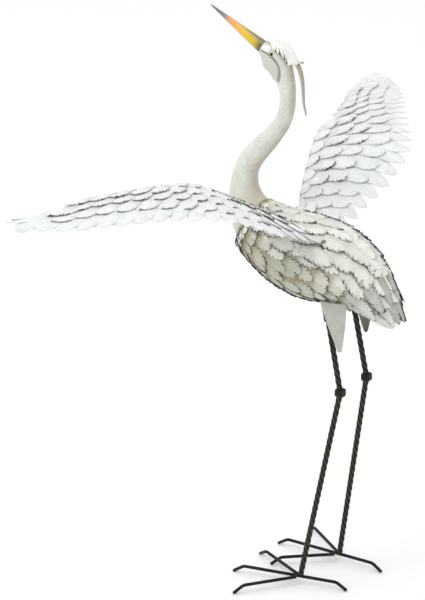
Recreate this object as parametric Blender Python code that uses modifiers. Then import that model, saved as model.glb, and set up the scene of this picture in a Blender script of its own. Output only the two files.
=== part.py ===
# Crane garden statue: painted sheet steel on legs of twisted square bar.
# Metres, +Z up. The bird faces -Y and its left wing reaches along +X. The floor is z = 0.
import math

import bmesh
import bpy
import numpy as np
from mathutils import Matrix, Vector

# Sheet, rods and the gap left between touching pieces
GAP = 0.0003
SHEET = 0.0012
ROD_RADIUS = 0.003
BAR_SIDE = 0.008
BAR_PITCH = 0.056
BAR_RINGS = 6

# Legs and feet
HUB_HEIGHT = 0.0145
TOE_LENGTH = 0.109
# The feet stand half a toe's length either side of the middle, so the inner toes pass each other
HUB_SPREAD = 0.5046 * TOE_LENGTH
FOOT_STAGGER = 0.055 * TOE_LENGTH
KNEE = (0.042, 0.060, 0.392)
HIP = (0.040, 0.026, 0.540)
KNEE_COLLAR_WIDTH = 0.0165
KNEE_COLLAR_HEIGHT = 0.0150
KNEE_COLLAR_BEVEL = 0.0024
SOCKET_RADIUS = 0.0075
SOCKET_LENGTH = 0.022
SOCKET_TOP = 0.020
SCREW_RADIUS = 0.002
SCREW_LENGTH = 0.012
SCREW_HEADING = (-0.55, 0.80, -0.25)
BAR_LEAN = 0.12 * BAR_SIDE
BACK_TOE_LENGTH = 0.067
TOE_END = 0.019
TOE_SPREAD = math.radians(37)
FOOT_TURN = {"left": math.radians(17), "right": math.radians(6)}

# Body: stations along its length as (y, z, half height, half width), first the collar seam
BODY_STATIONS = (
    (-0.153, 0.6485, 0.0510, 0.046),
    (-0.124, 0.6320, 0.0570, 0.055),
    (-0.083, 0.6165, 0.0655, 0.064),
    (-0.031, 0.6060, 0.0730, 0.069),
    (0.018, 0.5995, 0.0705, 0.067),
    (0.060, 0.5850, 0.0580, 0.058),
    (0.094, 0.5640, 0.0410, 0.045),
    (0.121, 0.5455, 0.0245, 0.031),
    (0.134, 0.5360, 0.0125, 0.018),
)
SEAM_NORMAL = (0.873, -0.487)
BODY_ROWS = 7
BODY_COUNT = 12
FEATHER_STEP = 0.0025
BODY_SCALLOP = 0.055

# Neck and head: (y, z, half height, half width) from the seam up to the beak
NECK_STATIONS = (
    (-0.153, 0.6485, 0.0470, 0.0415),
    (-0.169, 0.679, 0.0355, 0.033),
    (-0.1745, 0.702, 0.0280, 0.0270),
    (-0.1745, 0.722, 0.0238, 0.0235),
    (-0.170, 0.743, 0.0213, 0.0212),
    (-0.158, 0.765, 0.0205, 0.0200),
    (-0.139, 0.787, 0.0190, 0.0185),
    (-0.115, 0.814, 0.0164, 0.0164),
    (-0.096, 0.841, 0.0143, 0.0144),
    (-0.088, 0.866, 0.0136, 0.0138),
    (-0.087, 0.890, 0.0138, 0.0138),
    (-0.0902, 0.9077, 0.0163, 0.0142),
    (-0.0978, 0.9247, 0.0207, 0.0152),
    (-0.1065, 0.9407, 0.0256, 0.0160),
    (-0.1165, 0.9495, 0.0262, 0.0160),
    (-0.127, 0.9570, 0.0205, 0.0132),
    (-0.1385, 0.9625, 0.0118, 0.0088),
)
NECK_SIDES = 14
NECK_RINGS = 25
BEAK_TIP = (-0.248, 1.020)
BEAK_ROOT_HEIGHT = 0.0112
BEAK_ROOT_WIDTH = 0.0078
BEAK_TIP_RADIUS = 0.0009
# Crest plate: from one share of the neck's length to another, flaring off it towards the rear
CREST_FRONT = 0.985
CREST_BACK = 0.775
CREST_COUNT = 13
CREST_REACH = (math.radians(63), math.radians(70))
CREST_NOTCH = 0.78
CREST_LIFT = 0.0006
CREST_FLARE = 0.0125
PLUME_PATH = ((-0.0752, 0.9495), (-0.0650, 0.9365), (-0.0585, 0.917), (-0.0562, 0.898),
              (-0.0545, 0.879), (-0.0490, 0.858))
PLUME_WIDTH = 0.0060
PLUME_THICK = 0.0022
PLUME_TAPER = 0.38

# Wing: the left leading and trailing edges at the same places across, as (x, y, z)
WING_X = (0.036, 0.100, 0.180, 0.260, 0.345, 0.435, 0.490, 0.540)
LEAD_Y = (-0.087, -0.117, -0.147, -0.160, -0.192, -0.236, -0.252, -0.268)
LEAD_Z = (0.682, 0.718, 0.759, 0.778, 0.781, 0.777, 0.777, 0.779)
TRAIL_Y = (0.012, 0.010, 0.019, 0.004, -0.058, -0.118, -0.161, -0.222)
TRAIL_Z = (0.658, 0.680, 0.716, 0.754, 0.771, 0.775, 0.775, 0.778)
WING_END = ((0.536, -0.214), (0.546, -0.232), (0.534, -0.249), (0.510, -0.263))
WING_CAMBER = 0.006
# Feather headings across the wing, in degrees from straight out towards the back
LEAD_TURN = (45, 15, -2, -14, -20, -22, -22, -22)
TRAIL_TURN = (82, 70, 58, 42, 22, 6, -6, -14)
# Distance from the middle to the first tip and to each row's last tip, and feather lengths
FIRST_TIP = 0.052
FLIGHT_LAST_TIP = 0.524
LARGE_LAST_TIP = 0.500
MIDDLE_LAST_TIP = 0.478
SMALL_LAST_TIP = 0.450
FLIGHT_LENGTH = 0.070
LARGE_LENGTH = 0.045
MIDDLE_LENGTH = 0.038
SMALL_LENGTH = 0.030
# Each row: count, last tip, chord share of its tips, its depth as a share of the chord, feather
# length, share of the length at the notches
WING_ROWS = {
    "flight_feathers": (22, FLIGHT_LAST_TIP, 1.00, 0.58, FLIGHT_LENGTH, 0.76),
    "large_coverts": (15, LARGE_LAST_TIP, 0.70, 0.42, LARGE_LENGTH, 0.80),
    "middle_coverts": (14, MIDDLE_LAST_TIP, 0.44, 0.36, MIDDLE_LENGTH, 0.82),
    "small_coverts": (13, SMALL_LAST_TIP, 0.19, 0.21, SMALL_LENGTH, 0.80),
}
ROW_STEP = 0.0030
LOWEST_ROW = -0.0040
TIP_LIFT = 0.0012

# Tail: share of the body's length where each row starts, its reach round the body, feather count,
# feather length and droop
LOWER_TAIL_START = 0.86
LOWER_TAIL_REACH = math.radians(140)
LOWER_TAIL_COUNT = 7
LOWER_TAIL_LENGTH = 0.040
LOWER_TAIL_DROOP = 0.008
UPPER_TAIL_START = 0.74
UPPER_TAIL_REACH = math.radians(100)
UPPER_TAIL_COUNT = 6
UPPER_TAIL_LENGTH = 0.042
UPPER_TAIL_DROOP = 0.006
TAIL_PROUD = FEATHER_STEP + 2 * GAP
TAIL_STEP = SHEET + 9 * GAP

# Thigh plates
THIGH_HALF_WIDTH = 0.0225
THIGH_TIP = 0.003
THIGH_LENGTH = 0.088
THIGH_TOP = (0.0585, 0.052, 0.561)
THIGH_LEAN = (-0.07, 0.135, -1.0)
THIGH_BOW = 0.004

COLOURS = {
    "white": ((0.80, 0.81, 0.80), 0.45, 0.0),
    "neck": ((0.72, 0.70, 0.64), 0.45, 0.0),
    "beak": ((0.80, 0.52, 0.10), 0.40, 0.0),
    "plate": ((0.58, 0.57, 0.54), 0.50, 0.0),
    "bar": ((0.045, 0.045, 0.035), 0.50, 0.3),
}


def clearScene():
    for item in list(bpy.data.objects):
        bpy.data.objects.remove(item, do_unlink=True)


def newCollection(name):
    group = bpy.data.collections.new(name)
    bpy.context.scene.collection.children.link(group)
    return group


def paint(item, kind):
    colour, roughness, metallic = COLOURS[kind]
    material = bpy.data.materials.new(item.name)
    material.use_nodes = True
    shader = material.node_tree.nodes["Principled BSDF"]
    shader.inputs["Base Color"].default_value = (*colour, 1)
    shader.inputs["Roughness"].default_value = roughness
    shader.inputs["Metallic"].default_value = metallic
    item.data.materials.append(material)


def addObject(name, mesh, kind, group):
    item = bpy.data.objects.new(name, mesh)
    group.objects.link(item)
    paint(item, kind)
    return item


def smooth(stations, shares):
    """Curve through evenly counted stations, read at shares from 0 to 1."""
    points = np.asarray(stations, float)
    if points.ndim == 1:
        points = points[:, None]
    longer = np.vstack([2 * points[0] - points[1], points, 2 * points[-1] - points[-2]])
    place = np.clip(np.asarray(shares, float), 0, 1) * (len(points) - 1)
    first = np.minimum(place.astype(int), len(points) - 2)
    part = (place - first)[..., None]
    a, b, c, d = (longer[first + k] for k in range(4))
    return 0.5 * (2 * b + (c - a) * part + (2 * a - 5 * b + 4 * c - d) * part ** 2
                  + (3 * b - a - 3 * c + d) * part ** 3)


def loftMesh(name, rings, smoothAngle=40):
    """Closed solid through rings of equal count, with flat ends."""
    rings = np.asarray(rings, float)
    shape = bmesh.new()
    rows = [[shape.verts.new(point) for point in ring] for ring in rings]
    count = len(rows[0])
    for lower, upper in zip(rows, rows[1:]):
        for k in range(count):
            shape.faces.new((lower[k], lower[(k + 1) % count], upper[(k + 1) % count], upper[k]))
    shape.faces.new(rows[0][::-1])
    shape.faces.new(rows[-1])
    bmesh.ops.recalc_face_normals(shape, faces=shape.faces)
    mesh = bpy.data.meshes.new(name)
    shape.to_mesh(mesh)
    shape.free()
    mesh.shade_smooth()
    mesh.set_sharp_from_angle(angle=math.radians(smoothAngle))
    return mesh


def sheetObject(name, grid, kind, group, thickness=SHEET):
    """Open surface on a grid of points, given its thickness by Solidify."""
    grid = np.asarray(grid, float)
    shape = bmesh.new()
    rows = [[shape.verts.new(point) for point in row] for row in grid]
    for lower, upper in zip(rows, rows[1:]):
        for k in range(len(lower) - 1):
            shape.faces.new((lower[k], lower[k + 1], upper[k + 1], upper[k]))
    mesh = bpy.data.meshes.new(name)
    shape.to_mesh(mesh)
    shape.free()
    item = addObject(name, mesh, kind, group)
    wall = item.modifiers.new("wall", "SOLIDIFY")
    wall.thickness = thickness
    wall.offset = 1
    return item


def spineFrames(stations, shares, firstTangent, lastTangent):
    """Centres, sizes and normals of the sections along a spine in the plane x = 0."""
    values = smooth(stations, shares)
    centre = values[:, :2]
    tangent = np.gradient(centre, axis=0)
    tangent[0] = firstTangent
    tangent[-1] = lastTangent
    tangent /= np.linalg.norm(tangent, axis=1)[:, None]
    return centre, values[:, 2], values[:, 3], tangent


def section(centre, tangent, high, wide, angles, lift=0.0):
    """Oval section; angle 0 is the top side, 90 degrees the left side."""
    up = np.stack([-tangent[..., 1], tangent[..., 0]], -1)
    across = (wide + lift) * np.sin(angles)
    along = (high + lift) * np.cos(angles)
    return np.stack([across, centre[..., 0] + along * up[..., 0], centre[..., 1] + along * up[..., 1]], -1)


def bodyPoint(share, angle, lift=0.0):
    """Point of the body's skin at a share of its length and an angle from the top."""
    share = np.asarray(share, float)
    step = 0.01
    values = smooth(BODY_STATIONS, share)
    ahead = smooth(BODY_STATIONS, share + step)[..., :2]
    behind = smooth(BODY_STATIONS, share - step)[..., :2]
    tangent = ahead - behind
    tangent /= np.linalg.norm(tangent, axis=-1)[..., None]
    seam = np.array(SEAM_NORMAL)
    blend = np.clip(share / 0.22, 0, 1)[..., None]
    blend = blend * blend * (3 - 2 * blend)
    tangent = seam * (1 - blend) + tangent * blend
    tangent /= np.linalg.norm(tangent, axis=-1)[..., None]
    return section(values[..., :2], tangent, values[..., 2], values[..., 3], angle, lift)


def lobe(part):
    """Round feather edge: 0 in the notch and 1 at the tip, over one feather's width."""
    return np.sqrt(np.clip(1 - (2 * part - 1) ** 2, 0, 1))


def bodyRings(lift=None):
    """Rings of the body; with lift given, a plain skin that much proud."""
    columns = BODY_COUNT * 3
    angles = 2 * np.pi * np.arange(columns) / columns
    if lift is not None:
        shares = np.linspace(0, 1, 16)
        return [bodyPoint(np.full(columns, s), angles, lift) for s in shares]
    rings = [bodyPoint(np.zeros(columns), angles)]
    for row in range(BODY_ROWS):
        edge = (row + 0.75) / (BODY_ROWS + 0.6)
        part = (np.arange(columns) / 3 + 0.5 * (row % 2)) % 1.0
        shares = edge + BODY_SCALLOP * (lobe(part) - 0.5)
        rings.append(bodyPoint(shares, angles, FEATHER_STEP))
        rings.append(bodyPoint(shares + 0.004, angles, 0.0))
    rings.append(bodyPoint(np.full(columns, 0.985), angles, 0.0))
    return rings


def makeBody(group):
    return addObject("body", loftMesh("body", bodyRings(), 25), "white", group)


def makeNeck(group):
    shares = np.linspace(0, 1, NECK_RINGS)
    beakAxis = np.array(BEAK_TIP) - NECK_STATIONS[-1][:2]
    seam = (-SEAM_NORMAL[0], -SEAM_NORMAL[1])
    centre, high, wide, tangent = spineFrames(NECK_STATIONS, shares, seam, beakAxis)
    angles = 2 * np.pi * np.arange(NECK_SIDES) / NECK_SIDES
    rings = [section(centre[k], tangent[k], high[k], wide[k], angles) for k in range(NECK_RINGS)]
    rings[0] = rings[0] + GAP * np.array([0, -SEAM_NORMAL[0], -SEAM_NORMAL[1]])
    return addObject("head_and_neck", loftMesh("head_and_neck", rings), "neck", group)


def makeBeak(group):
    root = np.array(NECK_STATIONS[-1][:2])
    axis = np.array(BEAK_TIP) - root
    length = np.linalg.norm(axis)
    axis /= length
    shares = np.array([GAP / length, 0.3, 0.65, 0.92, 1.0])
    angles = 2 * np.pi * np.arange(10) / 10
    rings = []
    for share in shares:
        size = 1 - share ** 1.1
        high = BEAK_ROOT_HEIGHT * size + BEAK_TIP_RADIUS
        wide = BEAK_ROOT_WIDTH * size + BEAK_TIP_RADIUS
        rings.append(section(root + axis * length * share, axis, high, wide, angles))
    return addObject("beak", loftMesh("beak", rings), "beak", group)


def neckPoint(share, angle, lift):
    """Point proud of the head and neck at a share of their length."""
    step = 0.005
    values = smooth(NECK_STATIONS, share)
    tangent = smooth(NECK_STATIONS, share + step)[..., :2] - smooth(NECK_STATIONS, share - step)[..., :2]
    tangent /= np.linalg.norm(tangent, axis=-1)[..., None]
    return section(values[..., :2], tangent, values[..., 2], values[..., 3], angle, lift)


def makeCrest(group):
    """Plate over the crown whose lower edge runs in pointed notches."""
    shares = np.linspace(CREST_FRONT, CREST_BACK, CREST_COUNT)
    notch = np.where(np.arange(CREST_COUNT) % 2 == 0, 1.0, CREST_NOTCH)
    reach = notch * np.linspace(*CREST_REACH, CREST_COUNT)
    sides = np.linspace(-1, 1, 7)
    grid = []
    for column, share in enumerate(shares):
        angle = np.pi - sides * reach[column]
        lift = np.full(len(sides), CREST_LIFT + CREST_FLARE * (column / (CREST_COUNT - 1)) ** 1.5)
        grid.append(neckPoint(np.full(len(sides), share), angle, lift))
    return sheetObject("crest_plate", grid, "neck", group)


def makePlume(group):
    count = 12
    path = smooth(PLUME_PATH, np.linspace(0, 1, count))
    tangent = np.gradient(path, axis=0)
    tangent /= np.linalg.norm(tangent, axis=1)[:, None]
    angles = 2 * np.pi * np.arange(8) / 8
    taper = np.linspace(1, PLUME_TAPER, count)
    rings = []
    for k in range(count):
        rings.append(section(path[k], tangent[k], PLUME_THICK * taper[k], PLUME_WIDTH * taper[k], angles))
    return addObject("crest_plume", loftMesh("crest_plume", rings), "neck", group)


def across(values, x):
    """Value of one wing edge at a distance x from the middle."""
    places = np.asarray(WING_X, float)
    share = np.interp(x, places, np.linspace(0, 1, len(places)))
    return smooth(values, share)[..., 0]


def wingHeight(x, y):
    """Height of the wing's sheet over the plan point (x, y)."""
    chord = np.clip(wingChord(x, y), -0.2, 1.15)
    rise = across(LEAD_Z, x) * (1 - chord) + across(TRAIL_Z, x) * chord
    return rise + WING_CAMBER * 4 * chord * (1 - chord)


def wingTurn(x, chord):
    """Heading of a feather, from straight out towards the back."""
    return np.radians(across(LEAD_TURN, x) * (1 - chord) + across(TRAIL_TURN, x) * chord)


def wingChord(x, y):
    """Share of the chord at a plan point: 0 on the leading edge, 1 on the trailing edge."""
    front, back = across(LEAD_Y, x), across(TRAIL_Y, x)
    return (y - front) / (back - front)


def tipLine(first, last, chord, count):
    """Plan points evenly spaced along one row's tips; the flight feathers turn round the wing's end."""
    x = np.linspace(first, last, 300)
    y = across(LEAD_Y, x) * (1 - chord) + across(TRAIL_Y, x) * chord
    if chord == 1:
        end = smooth(((x[-1], y[-1]), *WING_END), np.linspace(0, 1, 60))[1:]
        x = np.concatenate([x, end[:, 0]])
        y = np.concatenate([y, end[:, 1]])
    z = wingHeight(x, y)
    length = np.concatenate([[0], np.cumsum(np.sqrt(np.diff(x) ** 2 + np.diff(y) ** 2 + np.diff(z) ** 2))])
    places = np.linspace(0, length[-1], count)
    return np.interp(places, length, x), np.interp(places, length, y)


def wingRowGrid(count, last, chord, depth, length, notch, level, side):
    """Grid of one row of feathers: base line, middle lines and the scalloped edge."""
    flight = chord == 1
    steps = 4 if flight else 3
    x, y = tipLine(FIRST_TIP, last, chord, (count - 1) * steps + 3)
    tipChord = wingChord(x, y)
    turn = wingTurn(x, np.clip(tipChord, 0, 1))
    part = ((np.arange(len(x)) + 1) / steps) % 1.0
    reach = notch + (1 - notch) * lobe(part)
    baseX = np.maximum(x - length * np.cos(turn), WING_X[0])
    baseChord = np.maximum(tipChord - depth, -0.02)
    baseY = across(LEAD_Y, baseX) * (1 - baseChord) + across(TRAIL_Y, baseX) * baseChord
    grid = []
    for share in (0.0, 0.5, 1.0):
        full = share * (reach if share == 1 else 1)
        px = baseX + (x - baseX) * full
        py = baseY + (y - baseY) * full
        pz = wingHeight(px, py) + level + TIP_LIFT * share ** 2
        grid.append(np.stack([side * px, py, pz], -1))
    return grid


def makeWing(side, group):
    name = "left" if side > 0 else "right"
    for level, (row, values) in enumerate(WING_ROWS.items()):
        grid = wingRowGrid(*values, LOWEST_ROW + level * ROW_STEP, side)
        if side < 0:
            grid = [line[::-1] for line in grid]
        sheetObject(f"{name}_wing_{row}", grid, "white", group)


def makeSkirt(name, start, length, half, feathers, lift, group, droop):
    """A row of long feathers round the body's rear, from the skin outwards."""
    columns = feathers * 4 + 1
    angles = np.linspace(-half, half, columns)
    reach = 0.62 + 0.38 * lobe((np.arange(columns) / 4) % 1.0)
    base = bodyPoint(np.full(columns, start), angles, lift)
    ahead = bodyPoint(np.full(columns, start + 0.04), angles, lift) - base
    ahead /= np.linalg.norm(ahead, axis=-1)[..., None]
    grid = []
    for share in (0.0, 0.5, 1.0):
        scale = share * (reach if share == 1 else 1.0)
        move = ahead * length * (scale[:, None] if share == 1 else scale)
        fall = np.zeros_like(move)
        fall[:, 2] = -droop * share ** 2
        grid.append(base + move + fall)
    return sheetObject(name, grid, "white", group)


def barRings(low, high, side=BAR_SIDE):
    """Rings of a square bar twisted left-handed, its two ends cut level."""
    low, high = np.asarray(low, float), np.asarray(high, float)
    axis = high - low
    length = np.linalg.norm(axis)
    axis /= length
    first = np.cross(axis, (0, 1, 0))
    first /= np.linalg.norm(first)
    second = np.cross(axis, first)
    count = max(3, int(round(length / BAR_PITCH * BAR_RINGS)) + 1)
    rings = []
    for k in range(count):
        share = k / (count - 1)
        angle = -2 * math.pi * share * length / BAR_PITCH
        ring = []
        for corner in range(4):
            turn = angle + math.pi / 4 + corner * math.pi / 2
            offset = (first * math.cos(turn) + second * math.sin(turn)) * side / math.sqrt(2)
            point = low + axis * length * share + offset
            if k in (0, count - 1):
                end = low if k == 0 else high
                point = point + axis * ((end[2] - point[2]) / axis[2])
            ring.append(point)
        rings.append(ring)
    return rings


def turnedTo(axis, middle):
    """Matrix that stands local Z along the axis at the middle point."""
    return Matrix.Translation(Vector(middle)) @ Vector(axis).to_track_quat("Z", "Y").to_matrix().to_4x4()


def roundBar(name, start, end, radius, kind, group, sides=10):
    """Plain round solid between two points."""
    start, end = np.asarray(start, float), np.asarray(end, float)
    shape = bmesh.new()
    bmesh.ops.create_cone(shape, cap_ends=True, segments=sides, radius1=radius, radius2=radius,
                          depth=float(np.linalg.norm(end - start)), matrix=turnedTo(end - start, (start + end) / 2))
    mesh = bpy.data.meshes.new(name)
    shape.to_mesh(mesh)
    shape.free()
    mesh.shade_smooth()
    mesh.set_sharp_from_angle(angle=math.radians(40))
    return addObject(name, mesh, kind, group)


def curveRod(name, points, radius, kind, group):
    """Bent round rod with square ends, its lowest corners cut level with the floor."""
    data = bpy.data.curves.new(name, "CURVE")
    data.dimensions = "3D"
    data.bevel_depth = radius
    data.bevel_resolution = 2
    data.use_fill_caps = True
    spline = data.splines.new("POLY")
    spline.points.add(len(points) - 1)
    for point, place in zip(spline.points, points):
        point.co = (*place, 1)
    guide = bpy.data.objects.new(name + "_path", data)
    group.objects.link(guide)
    bpy.context.view_layer.update()
    ready = guide.evaluated_get(bpy.context.evaluated_depsgraph_get())
    mesh = bpy.data.meshes.new_from_object(ready)
    bpy.data.objects.remove(guide, do_unlink=True)
    shape = bmesh.new()
    shape.from_mesh(mesh)
    bmesh.ops.remove_doubles(shape, verts=shape.verts, dist=1e-6)
    everything = shape.verts[:] + shape.edges[:] + shape.faces[:]
    cut = bmesh.ops.bisect_plane(shape, geom=everything, plane_co=(0, 0, 0), plane_no=(0, 0, -1),
                                 clear_outer=True)
    edges = [e for e in cut["geom_cut"] if isinstance(e, bmesh.types.BMEdge)]
    if edges:
        bmesh.ops.holes_fill(shape, edges=edges, sides=0)
    bmesh.ops.recalc_face_normals(shape, faces=shape.faces)
    shape.to_mesh(mesh)
    shape.free()
    mesh.name = name
    mesh.materials.clear()
    mesh.shade_smooth()
    mesh.set_sharp_from_angle(angle=math.radians(35))
    return addObject(name, mesh, kind, group)


def toeEnd(hub, heading, length):
    """The bend and the tip of one toe, the tip's low corner just under the floor."""
    out = np.array([math.sin(heading), -math.cos(heading), 0.0])
    bend = np.array(hub) + out * length
    tip = bend + out * TOE_END
    tip[2] = ROD_RADIUS * 0.5
    return bend, tip


def makeFoot(side, group):
    name = "left" if side > 0 else "right"
    hub = np.array([side * HUB_SPREAD, -side * FOOT_STAGGER, HUB_HEIGHT])
    turn = FOOT_TURN[name]
    bend, tip = toeEnd(hub, turn, TOE_LENGTH)
    backBend, backTip = toeEnd(hub, turn + math.pi, BACK_TOE_LENGTH)
    curveRod(f"{name}_long_toe_rod", [tip, bend, backBend, backTip], ROD_RADIUS, "bar", group)
    # A side toe starts beside the long rod, where its square end just clears it
    start = (ROD_RADIUS + GAP + ROD_RADIUS * math.cos(TOE_SPREAD)) / math.sin(TOE_SPREAD)
    for label, turned in (("outer", side), ("inner", -side)):
        heading = turn + turned * TOE_SPREAD
        bend, tip = toeEnd(hub, heading, TOE_LENGTH)
        out = np.array([math.sin(heading), -math.cos(heading), 0.0])
        curveRod(f"{name}_{label}_toe_rod", [hub + out * start, bend, tip], ROD_RADIUS, "bar", group)
    return hub


def makeCollar(name, centre, axis, group):
    """Blocky collar at the knee: a bevelled block."""
    shape = bmesh.new()
    bmesh.ops.create_cube(shape, size=1.0)
    bmesh.ops.scale(shape, verts=shape.verts, vec=(KNEE_COLLAR_WIDTH, KNEE_COLLAR_WIDTH, KNEE_COLLAR_HEIGHT))
    bmesh.ops.transform(shape, verts=shape.verts, matrix=turnedTo(axis, centre))
    mesh = bpy.data.meshes.new(name)
    shape.to_mesh(mesh)
    shape.free()
    item = addObject(name, mesh, "bar", group)
    edge = item.modifiers.new("edge", "BEVEL")
    edge.width = KNEE_COLLAR_BEVEL
    edge.segments = 1
    return item


def cutBy(item, cutter):
    """Takes the cutter out of the item and keeps the result as its mesh."""
    cut = item.modifiers.new("clearance", "BOOLEAN")
    cut.object = cutter
    cut.operation = "DIFFERENCE"
    cut.solver = "EXACT"


def makeLeg(side, group, cutter):
    name = "left" if side > 0 else "right"
    hub = makeFoot(side, group)
    knee = np.array(KNEE) * (side, 1, 1)
    hip = np.array(HIP) * (side, 1, 1)
    foot = hub + np.array([0, 0, ROD_RADIUS + GAP])
    lower = (foot - knee) / np.linalg.norm(foot - knee)
    upper = (hip - knee) / np.linalg.norm(hip - knee)
    tip = KNEE_COLLAR_HEIGHT / 2
    makeCollar(f"{name}_knee_collar", knee, upper - lower, group)
    lean = BAR_LEAN + GAP
    rings = barRings(foot, knee + lower * (tip + lean))
    addObject(f"{name}_lower_leg", loftMesh(f"{name}_lower_leg", rings, 20), "bar", group)
    socketLow = hip - upper * SOCKET_LENGTH
    rings = barRings(knee + upper * (tip + lean), socketLow - upper * (lean + SOCKET_RADIUS * 0.25))
    addObject(f"{name}_upper_leg", loftMesh(f"{name}_upper_leg", rings, 20), "bar", group)
    socket = roundBar(f"{name}_leg_socket", socketLow, hip + upper * SOCKET_TOP, SOCKET_RADIUS, "bar", group)
    cutBy(socket, cutter)
    middle = hip - upper * SOCKET_LENGTH * 0.80
    out = np.array(SCREW_HEADING) * (side, 1, 1)
    out -= upper * (out @ upper)
    out /= np.linalg.norm(out)
    start = middle + out * (SOCKET_RADIUS + GAP)
    roundBar(f"{name}_set_screw", start, start + out * SCREW_LENGTH, SCREW_RADIUS, "bar", group, 8)


def makeThigh(side, group, cutter):
    """Plain leaf plate hung at the flank, its top edge trimmed to the body."""
    name = "left" if side > 0 else "right"
    top = np.array(THIGH_TOP) * (side, 1, 1)
    down = np.array(THIGH_LEAN) * (side, 1, 1)
    down /= np.linalg.norm(down)
    along = np.array([0, 1.0, 0.10])
    along /= np.linalg.norm(along)
    grid = []
    for share in np.linspace(-0.1, 1, 7):
        width = THIGH_HALF_WIDTH * (1 - max(share, 0) ** 1.35) + THIGH_TIP
        line = []
        for place in (-1, -0.4, 0.4, 1):
            bow = side * THIGH_BOW * (1 - place ** 2)
            line.append(top + down * THIGH_LENGTH * share + along * width * place + np.array([bow, 0, 0]))
        grid.append(line[::-1] if side > 0 else line)
    plate = sheetObject(f"{name}_thigh_plate", grid, "plate", group)
    cutBy(plate, cutter)


def centreOnOrigin(group):
    """Moves the whole bird until its box stands centred over the origin."""
    bpy.context.view_layer.update()
    graph = bpy.context.evaluated_depsgraph_get()
    corners = np.array([item.evaluated_get(graph).bound_box for item in group.objects])
    middle = (corners.reshape(-1, 3).min(0) + corners.reshape(-1, 3).max(0)) / 2
    stand = bpy.data.objects.new("stand", None)
    bpy.context.scene.collection.objects.link(stand)
    for part in bpy.data.objects:
        if part is not stand:
            part.parent = stand
    stand.location = (-middle[0], -middle[1], 0)


def main():
    clearScene()
    group = newCollection("crane garden statue")
    tools = newCollection("cutters")
    cutter = addObject("body_clearance", loftMesh("body_clearance", bodyRings(FEATHER_STEP + GAP)), "bar", tools)
    cutter.hide_render = True
    cutter.display_type = "WIRE"
    makeBody(group)
    makeNeck(group)
    makeBeak(group)
    makeCrest(group)
    makePlume(group)
    for side in (1, -1):
        makeWing(side, group)
        makeLeg(side, group, cutter)
        makeThigh(side, group, cutter)
    makeSkirt("lower_tail_feathers", LOWER_TAIL_START, LOWER_TAIL_LENGTH, LOWER_TAIL_REACH,
              LOWER_TAIL_COUNT, TAIL_PROUD, group, LOWER_TAIL_DROOP)
    makeSkirt("upper_tail_feathers", UPPER_TAIL_START, UPPER_TAIL_LENGTH, UPPER_TAIL_REACH,
              UPPER_TAIL_COUNT, TAIL_PROUD + TAIL_STEP, group, UPPER_TAIL_DROOP)
    centreOnOrigin(group)


main()
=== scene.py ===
# Crane garden statue: the looks of painted sheet steel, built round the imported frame.
# Metres, +Z up. The bird faces -Y and its left wing reaches along +X.
import math
from functools import partial

import bpy
import numpy as np
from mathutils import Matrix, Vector


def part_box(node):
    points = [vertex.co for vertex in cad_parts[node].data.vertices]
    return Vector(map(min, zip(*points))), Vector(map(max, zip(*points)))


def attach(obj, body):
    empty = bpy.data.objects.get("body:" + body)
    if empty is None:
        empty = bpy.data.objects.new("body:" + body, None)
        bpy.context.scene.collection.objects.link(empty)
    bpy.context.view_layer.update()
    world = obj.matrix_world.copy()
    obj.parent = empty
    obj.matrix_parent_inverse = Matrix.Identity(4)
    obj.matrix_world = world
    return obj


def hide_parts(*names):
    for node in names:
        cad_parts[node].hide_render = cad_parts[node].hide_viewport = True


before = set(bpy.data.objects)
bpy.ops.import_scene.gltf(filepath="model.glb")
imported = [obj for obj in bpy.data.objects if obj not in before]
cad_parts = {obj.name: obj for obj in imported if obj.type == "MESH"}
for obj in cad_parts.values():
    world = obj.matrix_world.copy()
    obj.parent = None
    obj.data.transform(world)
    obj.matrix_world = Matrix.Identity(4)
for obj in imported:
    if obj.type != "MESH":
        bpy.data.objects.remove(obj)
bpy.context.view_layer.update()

# The bird's own places are given from the middle of its feet; the frame is centred on its box
statue = {"gap": 0.0003, "sheet": 0.0008, "kneeY": 0.060}
hands = {"left": 1, "right": -1}  # which way each side lies along X
kneeLow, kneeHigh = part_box("left_knee_collar")
moveBack = (kneeLow.y + kneeHigh.y) / 2 - statue["kneeY"]
rng = np.random.default_rng(7)


def hexColour(code):
    # sRGB hex turned to linear
    parts = [int(code[k:k + 2], 16) / 255 for k in (1, 3, 5)]
    return tuple(p / 12.92 if p <= 0.04045 else ((p + 0.055) / 1.055) ** 2.4 for p in parts) + (1.0,)


def smooth(stations, shares):
    # Catmull-Rom curve through evenly counted stations, read at shares from 0 to 1
    points = np.asarray(stations, float)
    if points.ndim == 1:
        points = points[:, None]
    longer = np.vstack([2 * points[0] - points[1], points, 2 * points[-1] - points[-2]])
    place = np.clip(np.asarray(shares, float), 0, 1) * (len(points) - 1)
    first = np.minimum(place.astype(int), len(points) - 2)
    part = (place - first)[..., None]
    a, b, c, d = (longer[first + k] for k in range(4))
    return 0.5 * (2 * b + (c - a) * part + (2 * a - 5 * b + 4 * c - d) * part ** 2
                  + (3 * b - a - 3 * c + d) * part ** 3)


def unit(vectors):
    # Vectors of length one
    return vectors / np.maximum(np.linalg.norm(vectors, axis=-1, keepdims=True), 1e-9)


def easeStep(low, high, value):
    # Smooth step from 0 at low to 1 at high
    part = np.clip((value - low) / (high - low), 0, 1)
    return part * part * (3 - 2 * part)


def fullTurn(sides):
    # Angles of a ring's points
    return 2 * np.pi * np.arange(sides) / sides


def fromZero(angle):
    # How far an angle is from 0, either way round
    return np.abs((angle + np.pi) % (2 * np.pi) - np.pi)


def ringGrid(shares, sides):
    # Share and angle of every point of a tube, both as (row, point of the ring)
    return np.meshgrid(shares, fullTurn(sides), indexing="ij")


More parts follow.
